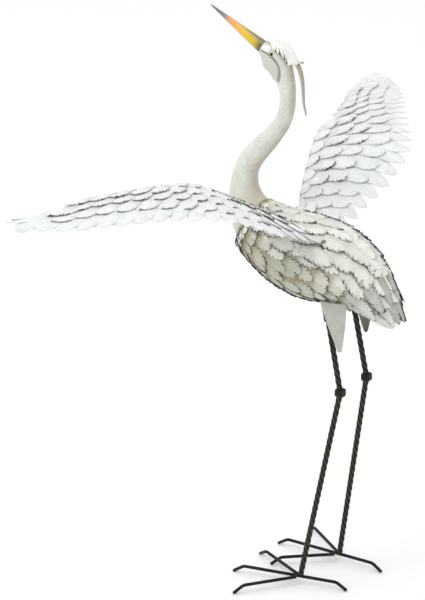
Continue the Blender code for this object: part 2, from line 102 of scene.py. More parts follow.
def gridFaces(rows, columns, ringed=False):
    # Quads of a grid of rows x columns points; ringed joins the last column to the first
    row = np.arange(rows - 1)[:, None]
    column = np.arange(columns if ringed else columns - 1)[None, :]
    after = (column + 1) % columns
    corners = (row * columns + column, row * columns + after, (row + 1) * columns + after,
               (row + 1) * columns + column)
    return np.stack(corners, -1).reshape(-1, 4)


def makePiece(name, points, faces, materials, nodes, marks=None, caps=(), creaseAngle=60):
    # One mesh from arrays that stands for the named nodes and rides on the body; marks are values
    # kept at each point for the materials
    points = np.asarray(points, float).reshape(-1, 3) + (0, moveBack, 0)
    mesh = bpy.data.meshes.new(name)
    mesh.from_pydata(points.tolist(), [], faces.tolist() + [list(cap) for cap in caps])
    for label, values in (marks or {}).items():
        kind, field = ("FLOAT_VECTOR", "vector") if np.ndim(values) > 1 else ("FLOAT", "value")
        layer = mesh.attributes.new(label, kind, "POINT")
        layer.data.foreach_set(field, np.ravel(values).astype(np.float32))
    mesh.validate()
    mesh.shade_smooth()
    mesh.set_sharp_from_angle(angle=math.radians(creaseAngle))
    piece = bpy.data.objects.new(name, mesh)
    bpy.context.scene.collection.objects.link(piece)
    for material in materials:
        mesh.materials.append(material)
    if nodes:
        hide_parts(*nodes)
    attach(piece, "root")
    return piece


def makeTube(name, points, material, nodes, marks=None, creaseAngle=60):
    # Closed tube: rings of points, joined and capped at both ends
    rows, sides = points.shape[:2]
    caps = (range(sides - 1, -1, -1), range((rows - 1) * sides, rows * sides))
    return makePiece(name, points, gridFaces(rows, sides, True), (material,), nodes, marks, caps,
                     creaseAngle)


def addWall(piece, **settings):
    # Thickness of the sheet, laid inwards unless the settings say otherwise
    wall = piece.modifiers.new("sheet", "SOLIDIFY")
    for key, value in {"thickness": statue["sheet"], "offset": -1, **settings}.items():
        setattr(wall, key, value)


# Shader nodes
def connect(node, inputs):
    # Inputs in order or by name: a value, a hex colour or another node's output
    for key, value in (inputs.items() if isinstance(inputs, dict) else enumerate(inputs)):
        if isinstance(value, bpy.types.NodeSocket):
            node.id_data.links.new(value, node.inputs[key])
        else:
            node.inputs[key].default_value = hexColour(value) if isinstance(value, str) else value


def addNode(tree, kind, inputs=(), output=0, stops=(), **settings):
    # One node with its settings and links; returns one of its outputs, or all of them for None
    node = tree.nodes.new("ShaderNode" + kind)
    for key, value in settings.items():
        setattr(node, key, value)
    if stops:
        ramp = node.color_ramp.elements
        while len(ramp) < len(stops):
            ramp.new(0.5)
        for element, (place, colour) in zip(ramp, stops):
            element.position = place
            element.color = hexColour(colour)
    connect(node, inputs)
    return node.outputs if output is None else node.outputs[output]


def newMaterial(name, values, spots=(), marks=()):
    # A material with the shader's own values. Spots are noise on Object coordinates, given as (size in
    # metres, detail, roughness), and marks are the piece's own values, each split in three. It comes back
    # with its function that adds nodes, its shader, the noises and the split marks.
    material = bpy.data.materials.new(name)
    material.use_nodes = True
    shader = material.node_tree.nodes["Principled BSDF"]
    add = partial(addNode, material.node_tree)
    connect(shader, values)
    noise = [add("TexNoise", {"Vector": add("TexCoord", output="Object"), "Scale": 1 / size,
                              "Detail": detail, "Roughness": rough}) for size, detail, rough in spots]
    parts = [add("SeparateXYZ", [add("Attribute", output="Vector", attribute_name=mark)], None)
             for mark in marks]
    return material, add, shader, noise, parts


def shareOf(add, *changes):
    # How much of a coat shows: the product of smooth changes, each (value, low, high, start, end)
    share = None
    for change in changes:
        if isinstance(change, tuple):
            change = add("MapRange", change, interpolation_type="SMOOTHSTEP")
        share = change if share is None else add("Math", (share, change), operation="MULTIPLY")
    return share


def layPaint(add, colour, *coats):
    # Coats laid over a first colour; each is its colour and the changes that say how much of it shows
    for coat, *changes in coats:
        colour = add("Mix", {"Factor": shareOf(add, *changes), 6: colour, 7: coat}, 2, data_type="RGBA")
    return colour


def finishPaint(add, shader, colour, height, depth, **more):
    # Colour, a low relief as many metres high as depth says, and what else the shader needs
    bump = add("Bump", {"Height": height, "Distance": depth, "Strength": 1.0})
    connect(shader, {"Base Color": colour, "Normal": bump, **more})


# Feather sheet: white enamel brushed over stamped steel, so the eye sees a streaked satin white, barbs
# pressed in slanting lines, and a brown-black wash that is broken along the cut edges.
# leaf = (distance from the root, distance across, distance in from the edge) in millimetres,
# wash = (painted shade on the hidden root, how dark the edge is, a number for each feather that sets its
# greyer coat: its own tone, and painted shade on the lower flank and the tail's far side)
featherPaint = {"white": "#f0f2f2", "cool": "#e3e8e9", "dull": "#bdbdb0", "root": "#a89f80",
                "groove": "#6f6b56", "barbSpacing": 1.7, "barbSlant": 0.9, "tickSpacing": 7.0,
                "tickSlant": 0.9,
                "line": ((0.1, "#aba895"), (0.3, "#6d6953"), (0.5, "#3e3b2e"), (0.8, "#211f18"))}


def featherMaterial(name, **colours):
    # Enamelled feather sheet, with other colours than featherPaint's where they are given
    paint = {**featherPaint, **colours}
    material, add, shader, (mottle, speck, gaps, breaks), (leaf, wash) = newMaterial(
        name, {}, ((0.014, 3, 0.55), (0.0024, 2, 0.7), (0.005, 1, 0.55), (0.008, 1, 0.55)), ("leaf", "wash"))
    along, aside, inEdge = leaf
    hidden, dark, own = wash
    # Streaks of brushed paint run along the blade
    lengthwise = add("CombineXYZ", [add("Math", (value, scale), operation="MULTIPLY")
                                    for value, scale in ((along, 0.03), (aside, 0.45), (own, 50.0))])
    streak = add("TexNoise", {"Vector": lengthwise, "Scale": 1.0, "Detail": 3.0})
    # Barbs slant back from the midrib, and the cuts of the saw edge slant forwards
    aside = add("Math", [aside], operation="ABSOLUTE")
    barbs = add("Math", (aside, -paint["barbSlant"], along), operation="MULTIPLY_ADD")
    cuts = add("Math", (inEdge, paint["tickSlant"], along), operation="MULTIPLY_ADD")
    turns = (add("Math", (place, 2 * math.pi / paint[step]), operation="MULTIPLY")
             for place, step in ((barbs, "barbSpacing"), (cuts, "tickSpacing")))
    barb, tick = (add("Math", [turn], operation="SINE") for turn in turns)
    cut = shareOf(add, (tick, 0.45, 0.85), (inEdge, 2.0, 5.5, 1.0, 0.0), (dark, 0.15, 0.45, 0.0, 0.95),
                  (gaps, 0.38, 0.55, 0.35, 1.0))
    # The wash keeps to a ragged border that is wider where it is darker, and it is broken in places
    width = add("Math", (dark, 0.85, 0.10), operation="MULTIPLY_ADD")
    inside = add("Math", (inEdge, 0.65), operation="SUBTRACT")
    ragged = add("Math", (speck, 1.3, inside), operation="MULTIPLY_ADD")
    beyond = add("Math", (ragged, width), operation="SUBTRACT")
    whole = add("Math", (shareOf(add, (breaks, 0.46, 0.54, 0.05, 1.0)), shareOf(add, (dark, 0.85, 1.15))),
                operation="MAXIMUM")
    border = shareOf(add, (beyond, -0.22, 0.22, 1.0, 0.0), (dark, 0.02, 0.35, 0.08, 1.0), whole)
    line = add("ValToRGB", [dark], stops=paint["line"])
    # The root coat is painted shade where the feathers in front lie over it; the greyer coat by each
    # feather's number is its own tone, and painted shade on the lower flank and the tail's far side
    colour = layPaint(add, paint["white"],
                      (paint["cool"], (mottle, 0.35, 0.68)),
                      (paint["dull"], (streak, 0.45, 0.7, 0.0, 0.25)),
                      (paint["dull"], (own, 0.3, 1.0, 0.0, 0.9)),
                      (paint["root"], hidden, (speck, 0.2, 0.75, 0.45, 1.0)),
                      (paint["groove"], (barb, -1.0, -0.2, 1.0, 0.0), (inEdge, 0.4, 4.5, 0.45, 0.06),
                       (dark, 0.0, 0.6, 0.25, 1.0)),
                      (line, add("Math", (border, cut), operation="MAXIMUM")))
    height = add("Math", (barb, 0.5, add("Math", (speck, 0.6), operation="MULTIPLY")),
                 operation="MULTIPLY_ADD")
    finishPaint(add, shader, colour, height, 0.00025, Roughness=shareOf(add, (speck, 0.3, 0.7, 0.36, 0.52)))
    return material


def rimMaterial(name, dark, light, share):
    # Cut edge of the sheets: dark bare steel left by the shears, partly covered by paint in spots
    material, add, shader, (patch, pits), _ = newMaterial(name, {"Roughness": 0.55},
                                                          ((0.004, 3, 0.7), (0.0012, 3, 0.55)))
    finishPaint(add, shader, layPaint(add, light, (dark, (patch, share - 0.12, share + 0.12))), pits, 0.0002)
    return material


whiteFeather = featherMaterial("white enamel on stamped sheet steel")
# Body leaves: olive edge rub, with olive painted shade on their roots and, on the flank, the greyer coat as
# painted shade
bodyFeather = featherMaterial("white enamel rubbed with olive on stamped sheet steel", white="#efefe8",
                              cool="#dfdfd5", dull="#adad99", root="#8e855f", groove="#5a563c")
backFeather = featherMaterial("white enamel rubbed lightly with olive on stamped sheet steel",
                              white="#f0f0eb", cool="#e2e4de", dull="#b4b4a5", root="#988f6c",
                              groove="#625e48")
greyFeather = featherMaterial("white enamel rubbed with grey on stamped sheet steel", white="#e6e7e3",
                              cool="#d9dbd8", dull="#8f8f88", root="#9a9170", groove="#635f49")
darkRim = rimMaterial("sheared steel edge, brown-black wash", "#322f26", "#8d8774", 0.42)
paleRim = rimMaterial("sheared steel edge, painted over", "#9a978b", "#c9cac6", 0.55)

# Wing: the left leading and trailing edges at the same places across, as in the frame, and for each
# hand the way the feathers point, in degrees from straight out towards the rear, and where the wash on
# their edges begins
wing = {
    "x": (0.036, 0.100, 0.180, 0.260, 0.345, 0.435, 0.490, 0.540),
    "leadY": (-0.087, -0.117, -0.147, -0.160, -0.192, -0.236, -0.252, -0.268),
    "leadZ": (0.682, 0.718, 0.759, 0.778, 0.781, 0.777, 0.777, 0.779),
    "trailY": (0.012, 0.010, 0.019, 0.004, -0.058, -0.118, -0.161, -0.222),
    "trailZ": (0.658, 0.680, 0.716, 0.754, 0.771, 0.775, 0.775, 0.778),
    "end": ((0.536, -0.214), (0.546, -0.232), (0.534, -0.249), (0.510, -0.263)),
    "camber": 0.006, "lowestRow": -0.0040, "rowStep": 0.0030, "rootCut": 0.026,
    "left": {"leadTurn": (92, 84, 62, 24, 0, -8, -12, -16), "trailTurn": (92, 88, 76, 54, 32, 18, 8, -6),
             "washFrom": (0.030, 0.048)},
    "right": {"leadTurn": (45, 27, 20, 1, -10, -18, -22, -24), "trailTurn": (98, 94, 90, 78, 54, 34, 8, -14),
              "washFrom": (0.060, 0.110)},
}
# Feather rows: how much darker the right wing's edges are, how much the wash fades at the tips, count,
# first and last tip across, chord share of the tips at the places x, feather length and half width,
# teeth along an edge and their depth, how blunt the tip is, dark of the rear and front edge, turned-down
# lip of the rear edge, rise of the tip and tilt of the blade
wingRows = {
    "flight_feathers": dict(far=1.0, fades=0.6, count=22, first=0.044, last=0.524, chord=(1,) * 8,
                            length=0.112, half=0.0175, teeth=9, depth=0.09, blunt=2.6, rear=0.20, front=0.14,
                            lip=0.0004, lift=0.0004, tilt=0.0016),
    "large_coverts": dict(far=0.85, fades=0.3, count=15, first=0.050, last=0.488,
                          chord=(0.80, 0.80, 0.79, 0.74, 0.64, 0.58, 0.60, 0.64), length=0.072, half=0.0190,
                          teeth=8, depth=0.08, blunt=2.6, rear=0.36, front=0.26, lip=0.0005, lift=-0.0006,
                          tilt=0.0018),
    "middle_coverts": dict(far=1.35, fades=0.93, count=15, first=0.034, last=0.474,
                           chord=(0.58, 0.58, 0.56, 0.47, 0.33, 0.31, 0.38, 0.45), length=0.066, half=0.0180,
                           teeth=7, depth=0.09, blunt=2.6, rear=0.50, front=0.14, lip=0.0007, lift=-0.0010,
                           tilt=0.0020),
    "small_coverts": dict(far=1.3, fades=0.97, count=13, first=0.046, last=0.425,
                          chord=(0.36, 0.37, 0.35, 0.26, 0.13, 0.12, 0.22, 0.30), length=0.060, half=0.0165,
                          teeth=7, depth=0.09, blunt=2.6, rear=0.74, front=0.10, lip=0.0009, lift=-0.0012,
                          tilt=0.0022),
    "least_coverts": dict(far=1.0, fades=0.8, count=7, first=0.042, last=0.235,
                          chord=(0.14, 0.15, 0.12, 0.08, 0.05, 0.05, 0.05, 0.05), length=0.050, half=0.0150,
                          teeth=6, depth=0.09, blunt=2.6, rear=0.5, front=0.12, lip=0.0006, lift=-0.0010,
                          tilt=0.0016),
}
# The rows of each piece, with the layer that they lie in
wingPieces = {
    "flight_feathers": ((0, "flight_feathers"),),
    "large_coverts": ((1, "large_coverts"),),
    "middle_coverts": ((2, "middle_coverts"),),
    "small_coverts": ((3, "small_coverts"), (3.8, "least_coverts")),
}


def wingEdge(values, x):
    # A value given at the wing's places, read at any x
    share = np.interp(x, wing["x"], np.linspace(0, 1, len(wing["x"])))
    return smooth(values, share)[..., 0]


def wingChord(x, y):
    # Share of the way from the leading to the trailing edge
    front, back = wingEdge(wing["leadY"], x), wingEdge(wing["trailY"], x)
    return (y - front) / (back - front)


def wingHeight(x, y):
    # Height of the wing over the plan point: straight between the edges, plus a low camber
    chord = np.clip(wingChord(x, y), -0.2, 1.15)
    rise = wingEdge(wing["leadZ"], x) * (1 - chord) + wingEdge(wing["trailZ"], x) * chord
    return rise + wing["camber"] * 4 * chord * (1 - chord)


def tipPlaces(form):
    # Plan points evenly spaced along a row's tips; the flight feathers turn round the wing's end
    x = np.linspace(form["first"], form["last"], 300)
    chord = wingEdge(form["chord"], x)
    y = wingEdge(wing["leadY"], x) * (1 - chord) + wingEdge(wing["trailY"], x) * chord
    if chord.min() == 1:
        end = smooth(((x[-1], y[-1]), *wing["end"]), np.linspace(0, 1, 60))[1:]
        x, y = np.concatenate([x, end[:, 0]]), np.concatenate([y, end[:, 1]])
    z = wingHeight(x, y)
    steps = np.sqrt(np.diff(x) ** 2 + np.diff(y) ** 2 + np.diff(z) ** 2)
    length = np.concatenate([[0], np.cumsum(steps)])
    places = np.linspace(0, length[-1], form["count"])
    return np.interp(places, length, x), np.interp(places, length, y)


def leafShape(form, lengths, halves, lips=1.0):
    # Leaf blades as arrays (feather, row, column): distance along, distance across, height, distance in
    # from the edge, share of the length and place across from -1 to 1. The half width swells from the
    # root, is widest at 52 % and rounds to the tip; teeth cut it like a saw. The height is a droop with
    # the square of the place across, a raised midrib, a tilt that lifts one side, and a lip turned down
    # along that side.
    teeth, sawEnd, widest = form["teeth"], 0.90, 0.52
    rows = (np.arange(teeth)[:, None] + np.array([0.0, 0.55, 0.95])).ravel() / teeth
    u = np.append(rows * sawEnd, [0.92, 0.95, 0.975, 0.992, 0.999])[:, None]
    v = np.array([[-1.0, -0.9, -0.45, 0.0, 0.45, 0.9, 1.0, 1.0]])
    swell = 0.55 + 0.45 * np.sin(np.pi / 2 * np.clip(u / widest, 0, 1))
    late = np.clip((u - widest) / (1 - widest), 0, 1)
    outline = swell * (1 - late ** form["blunt"]) ** 0.60
    saw = (u * teeth / sawEnd) % 1.0
    outline = outline * (1 - form["depth"] * saw * easeStep(0.02, 0.2, u) * (1 - easeStep(sawEnd, 0.94, u)))
    lengths, halves = lengths[:, None, None], halves[:, None, None]
    along = u * lengths * np.ones_like(v)
    side = v * outline * halves
    lipped = np.zeros(v.size)
    lipped[-1] = 1.0
    edge = np.minimum(outline * halves * (1 - np.abs(v)), (1 - u) * lengths)
    edge = np.where(lipped > 0, -0.0005, edge)
    drop = lipped * form["lip"] * (np.ones(len(lengths)) * lips)[:, None, None] * easeStep(0.15, 0.4, u)
    rib = 0.0005 * np.exp(-(v / 0.2) ** 2) * (1 - u)
    height = (form["lift"] * easeStep(0.1, 1.0, u) + form["tilt"] * v * easeStep(0.05, 0.5, u)
              - 0.10 * v ** 2 * outline * halves + rib - drop) * np.ones_like(lengths)
    return along, side, height, edge, u * np.ones_like(along), v * np.ones_like(along)


def featherMarks(blades, rear, front, rootShade, own, collar=0.0):
    # Marks for the feather paint; rear and front are how dark the two side edges are
    along, side, _, edge, share, place = blades
    leaf = np.stack([along, side, edge], -1) * 1000
    rear, front, rootShade, collar = (np.reshape(np.asarray(k, float) * np.ones(len(along)), (-1, 1, 1))
                                      for k in (rear, front, rootShade, collar))
    wash = front + (rear - front) * easeStep(0.0, 0.5, place)
    wash = wash * np.maximum(easeStep(0.10, 0.32, share), collar) * (0.8 + 0.3 * own[:, None, None])
    # The root, which lies under the feathers in front, is darkened as painted shade
    root = rootShade * (1 - easeStep(0.26, 0.62, share))
    count = own[:, None, None] * np.ones_like(share)
    return {"leaf": leaf.reshape(-1, 3), "wash": np.stack([root, wash, count], -1).reshape(-1, 3)}


def featherFaces(shape, mirrored=None):
    # Quads of all blades of a row; those of mirrored blades turn the other way
    count, rows, columns = shape[:3]
    faces = gridFaces(rows, columns)[None] + (np.arange(count) * rows * columns)[:, None, None]
    if mirrored is not None:
        faces[mirrored] = faces[mirrored][:, :, ::-1]
    return faces.reshape(-1, 4)


def wingRowParts(name, row, level):
    # Points, marks and hand of one row's feathers
    form, hand, side = wingRows[row], wing[name], hands[name]
    x, y = tipPlaces(form)
    chord = np.clip(wingChord(x, y), 0, 1)
    turn = np.radians(wingEdge(hand["leadTurn"], x) * (1 - chord) + wingEdge(hand["trailTurn"], x) * chord)
    count = len(x)
    own = rng.random(count)
    lengths = form["length"] * (0.94 + 0.10 * rng.random(count)) * np.interp(x, (0.05, 0.14), (0.78, 1.0))
    halves = form["half"] * (0.95 + 0.08 * rng.random(count))
    halves = halves * np.interp(x, (0.34, 0.44), (1.0, 1.16))
    turn = turn + np.radians(rng.normal(0, 1.6, count))
    blades = leafShape(form, lengths, halves)
    # A feather's raised side faces the trailing edge and the body, but outwards near the left wing's root
    mirror = np.where((x < 0.16) & (side > 0), -1.0, 1.0)
    along, across, height, edge, share, place = blades
    across = across * mirror[:, None, None]
    headX, headY = np.cos(turn)[:, None, None], np.sin(turn)[:, None, None]
    back = along - lengths[:, None, None]
    px = x[:, None, None] + headX * back - headY * across
    py = y[:, None, None] + headY * back + headX * across
    # Roots are cut off at the leading edge, and next to the body they come down to it
    px = np.maximum(px, wing["rootCut"])
    py = np.maximum(py, wingEdge(wing["leadY"], px) + 0.0005 * level)
    tuck = 0.012 * (1 - easeStep(wing["rootCut"], 0.050, px))
    pz = wingHeight(px, py) + wing["lowestRow"] + level * wing["rowStep"] + height - tuck
    rear = form["rear"] * (0.22 + 0.95 * rng.random(count)) * (1.0 if side > 0 else form["far"])
    marks = featherMarks((along, across, height, edge, share, place), rear, form["front"], 0.3, own)
    # The wash thins out at the tips of the outer coverts and at the root of the wing
    start = 0.76 + 0.10 * rng.random((count, 1, 1))
    thin = 1 - form["fades"] * easeStep(start, start + 0.11, share) * easeStep(0.12, 0.22, x)[:, None, None]
    thin = thin * (0.35 + 0.65 * easeStep(0.55, 0.74, share)) * (0.1 + 0.9 * easeStep(*hand["washFrom"], px))
    if row == "flight_feathers":
        thin = thin * (1 - 0.8 * easeStep(0.47, 0.52, x)[:, None, None])
    marks["wash"][:, 1] *= thin.ravel()
    marks["wash"][:, 2] *= 0.4
    return np.stack([side * px, py, pz], -1), marks, mirror * side


def makeWingPiece(name, node, rows):
    # The rows of one piece, joined in one mesh
    points, faces, marks, start = [], [], {"leaf": [], "wash": []}, 0
    for level, row in rows:
        part, values, hand = wingRowParts(name, row, level)
        faces.append(featherFaces(part.shape, hand < 0) + start)
        start += part[..., 0].size
        points.append(part.reshape(-1, 3))
        for key in marks:
            marks[key].append(values[key])
    marks = {key: np.concatenate(values) for key, values in marks.items()}
    title = f"{name}Wing{node.title().replace('_', '')}"
    addWall(makePiece(title, np.concatenate(points), np.concatenate(faces), (whiteFeather,),
                      [f"{name}_wing_{node}"], marks))


for name in hands:
    for node, rows in wingPieces.items():
        makeWingPiece(name, node, rows)
print("wings ready")

# Body: stations along its length as (y, z, half height, half width), first the collar seam. Under the
# feathers the shell is kept a little inside the solid.
body = {
    "stations": ((-0.153, 0.6485, 0.0510, 0.046), (-0.124, 0.6320, 0.0570, 0.055),
                 (-0.083, 0.6165, 0.0655, 0.064), (-0.031, 0.6060, 0.0730, 0.069),
                 (0.018, 0.5995, 0.0705, 0.067), (0.060, 0.5850, 0.0580, 0.058),
                 (0.094, 0.5640, 0.0410, 0.045), (0.121, 0.5455, 0.0245, 0.031),
                 (0.134, 0.5360, 0.0125, 0.018)),
    "seam": (0.873, -0.487), "drawnUp": 0.20, "shellInset": 0.0006,
}
# Leaves on the flanks and belly, and larger ones down the back: rows from first to last share of the
# length, leaves round each row, and the part of the round they take in degrees either way from the top
bodyLeaves = {
    "flank": dict(rows=12, first=0.030, last=0.90, around=19, reach=180, half=0.0138, slim=3.3, teeth=6,
                  depth=0.13, blunt=2.3, lip=0.0005, lift=0.0024, tilt=0.0, level=0.0002),
    "back": dict(rows=9, first=0.10, last=0.84, around=6, reach=56, half=0.0150, slim=3.4, teeth=7,
                 depth=0.10, blunt=2.2, lip=0.0008, lift=0.0016, tilt=0.0010, level=0.0034),
}


def ovalAt(centre, tangent, high, wide, angles, lift):
    # Oval section square to the tangent; angle 0 is the top side, 90 degrees the left side
    along = (high + lift) * np.cos(angles)
    return np.stack([(wide + lift) * np.sin(angles), centre[..., 0] - along * tangent[..., 1],
                     centre[..., 1] + along * tangent[..., 0]], -1)


def spineAt(stations, share, step, seam, seamEnd):
    # Stations read at a share, and the tangent there, which turns to the seam's own at its start
    tangent = unit(smooth(stations, share + step)[..., :2] - smooth(stations, share - step)[..., :2])
    blend = easeStep(0, seamEnd, share)[..., None]
    return smooth(stations, share), unit(seam * (1 - blend) + tangent * blend)


def bodyPoint(share, angle, lift=0.0):
    # Point of the body's skin, raised by the lift
    share = np.asarray(share, float)
    values, tangent = spineAt(body["stations"], share, 0.01, np.array(body["seam"]), 0.22)
    # The belly is drawn up behind the breast
    drawnUp = body["drawnUp"] * easeStep(0.25, 0.62, share) * (1 + easeStep(0.7, 1.0, share))
    high = values[..., 2] * (1 - drawnUp * np.clip(-np.cos(angle), 0, 1))
    return ovalAt(values[..., :2], tangent, high, values[..., 3], angle, lift)


def makeBodyShell(material):
    # Closed skin under the feathers
    points = bodyPoint(*ringGrid(np.linspace(0, 1, 70), 72), -body["shellInset"])
    makeTube("bodyShell", points, material, ["body"])


def leafPlaces(form):
    # Share of the length, angle from the top, size of the body there and row number of every leaf
    places = []
    for row, place in enumerate(np.linspace(form["first"], form["last"], form["rows"])):
        odd, around = row % 2, form["around"]
        if form["reach"] == 180:
            turn = (np.arange(around) + 0.5 * odd) * 2 * np.pi / around
            turn = (turn + np.pi) % (2 * np.pi) - np.pi
        else:
            turn = np.linspace(-1, 1, around)[:around - odd] + odd / (around - 1)
            turn = np.radians(turn * form["reach"])
        size = smooth(body["stations"], place)[2:].mean()
        places += [(place, angle, size, row) for angle in turn]
    return np.array(places).T


def makeBodyLeaves(kind, paint):
    # Blades bent round the body, each with its root hidden under the row in front
    form = bodyLeaves[kind]
    centre = smooth(body["stations"], np.linspace(0, 1, 200))[:, :2]
    length = np.linalg.norm(np.diff(centre, axis=0), axis=1).sum()
    starts, angles, sizes, row = leafPlaces(form)
    firstRow = 1.0 * ((row == 0) & (kind == "flank"))
    count = len(starts)
    starts = starts + rng.normal(0, 0.006, count)
    angles = angles + rng.normal(0, 0.035, count) * np.where(np.abs(angles) < 0.9, 0.6, 1.0)
    # Leaves get smaller with the body, and at the collar
    collar = starts < 0.12
    halves = np.clip(form["half"] * (sizes / 0.066) ** 0.55, 0.0075, form["half"] * 1.05)
    halves = halves * (0.90 + 0.20 * rng.random(count)) * np.where(collar, 0.85, 1.0)
    lengths = halves * form["slim"] * (0.92 + 0.16 * rng.random(count)) * np.where(collar, 0.8, 1.0)
    degrees = np.degrees(np.abs(angles))
    # Edges are turned up instead of down along the ridge and the belly
    low, high = (18, 60) if kind == "back" else (112, 152)
    turnedUp = (degrees > low) & (degrees < high)
    blades = leafShape(form, lengths, halves, np.where(turnedUp, -3.2, 1.0))
    along, across, height = blades[:3]
    outer = np.where(angles < 0, -1.0, 1.0)[:, None, None]
    # Side feathers point a little downwards
    lean = (np.radians(7) * np.sin(angles) + np.radians(rng.normal(0, 6, count)))[:, None, None]
    run = along * np.cos(lean) - across * outer * np.sin(lean)
    turned = along * np.sin(lean) + across * outer * np.cos(lean)
    spot = starts[:, None, None] + (run - lengths[:, None, None] * 0.45) / length
    radius = smooth(body["stations"], np.clip(spot, 0, 1))[..., 2:].mean(-1)
    radius = np.maximum(radius, sizes[:, None, None] * 0.8)
    # Leaves under the belly lie closer to the skin
    closer = (easeStep(0.3, 0.9, -np.cos(angles)) * easeStep(0.4, 0.7, starts))[:, None, None]
    points = bodyPoint(np.clip(spot, 0.002, 1), angles[:, None, None] + turned / radius,
                       height * (1 - 0.5 * closer) + form["level"] - 0.0022 * closer)
    # Tips past the body's end run on, sloping down
    beyond = np.maximum(spot - 1, 0) * length
    points[..., 1] += beyond * 0.8
    points[..., 2] -= beyond * 0.6
    own = rng.random(count)
    if kind == "flank":
        # Darkest at the collar, along the belly and up beside the back
        dark = 0.46 + 0.44 * easeStep(112, 130, degrees) * (1 - 0.6 * easeStep(160, 175, degrees))
        dark = np.maximum(dark, firstRow)
        dark = np.maximum(dark, 0.50 + 0.3 * (1 - easeStep(0.05, 0.25, starts)))
        dark = np.maximum(dark, 0.8 * easeStep(84, 112, degrees) * (1 - easeStep(0.5, 0.75, starts)))
        # Flank roots take much painted shade, and leaves lower down the side and nearer the front take more
        # of the greyer coat as painted shade
        rear, front, rootShade = dark * 1.25, dark * 0.9, 0.9
        shaded = 0.30 + 0.55 * easeStep(50, 95, degrees) * (1 - 0.7 * easeStep(0.25, 0.75, starts))
        own = shaded + 0.18 * own - 0.5 * firstRow
    else:
        rear, front, rootShade = 0.58 + 0.47 * rng.random(count), 0.16, 0.28
        rear = np.where(turnedUp & (angles < 0), 1.0, rear)
        own = 0.28 + 0.30 * own
    marks = featherMarks(blades, rear, front, rootShade, own, firstRow)
    piece = makePiece(f"{kind}Feathers", points, featherFaces(along.shape, outer.ravel() < 0), (paint,), (),
                      marks)
    addWall(piece, thickness=0.0006)


# Stamped edges that stand up along the ridge, the belly and the collar: from and to as (share of the
# length, degrees round), how many leaves make the line, and their height
raisedEdges = (
    ((0.24, -19), (0.60, -24), 9, 0.0050), ((0.28, -32), (0.64, -37), 9, 0.0062),
    ((0.58, -24), (0.86, -34), 7, 0.0054), ((0.015, 150), (0.30, 146), 7, 0.0030),
    ((0.26, 144), (0.62, 142), 9, 0.0026), ((0.05, 128), (0.34, 134), 7, 0.0020),
    ((0.020, 66), (0.012, 150), 5, 0.0026), ((0.060, 92), (0.075, 140), 4, 0.0024),
)


def makeRaisedEdges(lines, material):
    # A ribbon a leaf: it climbs from its start, is cut by small teeth and drops at its end; the next
    # leaf's ribbon starts beside the end of the one before. The lines on the left are mirrored.
    points, faces, rows, teeth, foot = [], [], 22, 7, 0.0018
    u, v = np.linspace(0, 1, rows)[:, None], np.array([[0.0, 0.5, 1.0]])
    saw = 1 - 0.45 * ((u * teeth) % 1.0)
    lines += tuple(((a, -b), (c, -d), count, high) for (a, b), (c, d), count, high in lines if b > 0)
    for first, last, count, high in lines:
        first, last = np.array(first, float), np.array(last, float)
        step = (last - first) / count
        # Ribbons along the body are skewed in degrees round, the others in share of the length
        skew = (0.0, 2.7 * np.sign(first[1])) if abs(step[0]) * 310 > abs(step[1]) * 1.2 else (0.02, 0.0)
        for k in range(count):
            route = first + step * (k + u * 1.25)[..., None] + skew * (u - 0.5)[..., None]
            shares, degrees = np.moveaxis(route, -1, 0)
            climb = easeStep(0.0, 0.55, u) * (1 - 0.7 * easeStep(0.88, 1.0, u)) * (0.8 + 0.3 * rng.random())
            points.append(bodyPoint(shares, np.radians(degrees), foot + v * high * climb * saw))
            faces.append(gridFaces(rows, v.size) + len(faces) * rows * v.size)
    piece = makePiece("raisedFeatherEdges", np.stack(points), np.concatenate(faces), (material,), ())
    addWall(piece, thickness=0.0007, offset=0)


# Ground coat of the body: a matt, cloudy beige-grey that the eye finds only in the gaps between feathers; it
# is kept darker than the feathers as painted shade in those gaps
shellEnamelAndShade, add, shader, (cloud, pits), _ = newMaterial(
    "beige ground enamel with painted gap shade on sheet steel", {"Roughness": 0.5}, ((0.006, 3, 0.55), (0.0015, 3, 0.55)))
finishPaint(add, shader, layPaint(add, "#8f8668", ("#b5ad90", (cloud, 0.3, 0.7))), pits, 0.0003)
makeBodyShell(shellEnamelAndShade)
makeBodyLeaves("flank", bodyFeather)
makeBodyLeaves("back", backFeather)
makeRaisedEdges(raisedEdges, rimMaterial("sheared steel edge, bare and dark", "#1f1d17", "#6f6a57", 0.30))
print("body ready")

# Head and neck: (y, z, half height, half width) from the seam up to the beak
neck = {
    "stations": ((-0.153, 0.6485, 0.0470, 0.0415), (-0.169, 0.679, 0.0355, 0.033),
                 (-0.1745, 0.702, 0.0280, 0.0270), (-0.1745, 0.722, 0.0238, 0.0235),
                 (-0.170, 0.743, 0.0213, 0.0212), (-0.158, 0.765, 0.0205, 0.0200),
                 (-0.139, 0.787, 0.0190, 0.0185), (-0.115, 0.814, 0.0164, 0.0164),
                 (-0.096, 0.841, 0.0143, 0.0144), (-0.088, 0.866, 0.0136, 0.0138),
                 (-0.087, 0.890, 0.0138, 0.0138), (-0.0902, 0.9077, 0.0163, 0.0142),
                 (-0.0978, 0.9247, 0.0207, 0.0152), (-0.1065, 0.9407, 0.0256, 0.0160),
                 (-0.1165, 0.9495, 0.0262, 0.0160), (-0.127, 0.9570, 0.0205, 0.0132),
                 (-0.1385, 0.9625, 0.0118, 0.0088)),
    # Cheek groove and face marks as (share of the length, degrees round from the throat)
    "groove": ((0.984, 82), (0.935, 94), (0.892, 101), (0.855, 104), (0.825, 105), (0.799, 107), (0.777, 107),
               (0.755, 102), (0.735, 92), (0.718, 76)),
    "lore": (0.948, 118), "eye": (0.8789, 112), "headStart": 0.66,
    "grooveDepth": 0.0014, "grooveWidth": 0.0021,
}


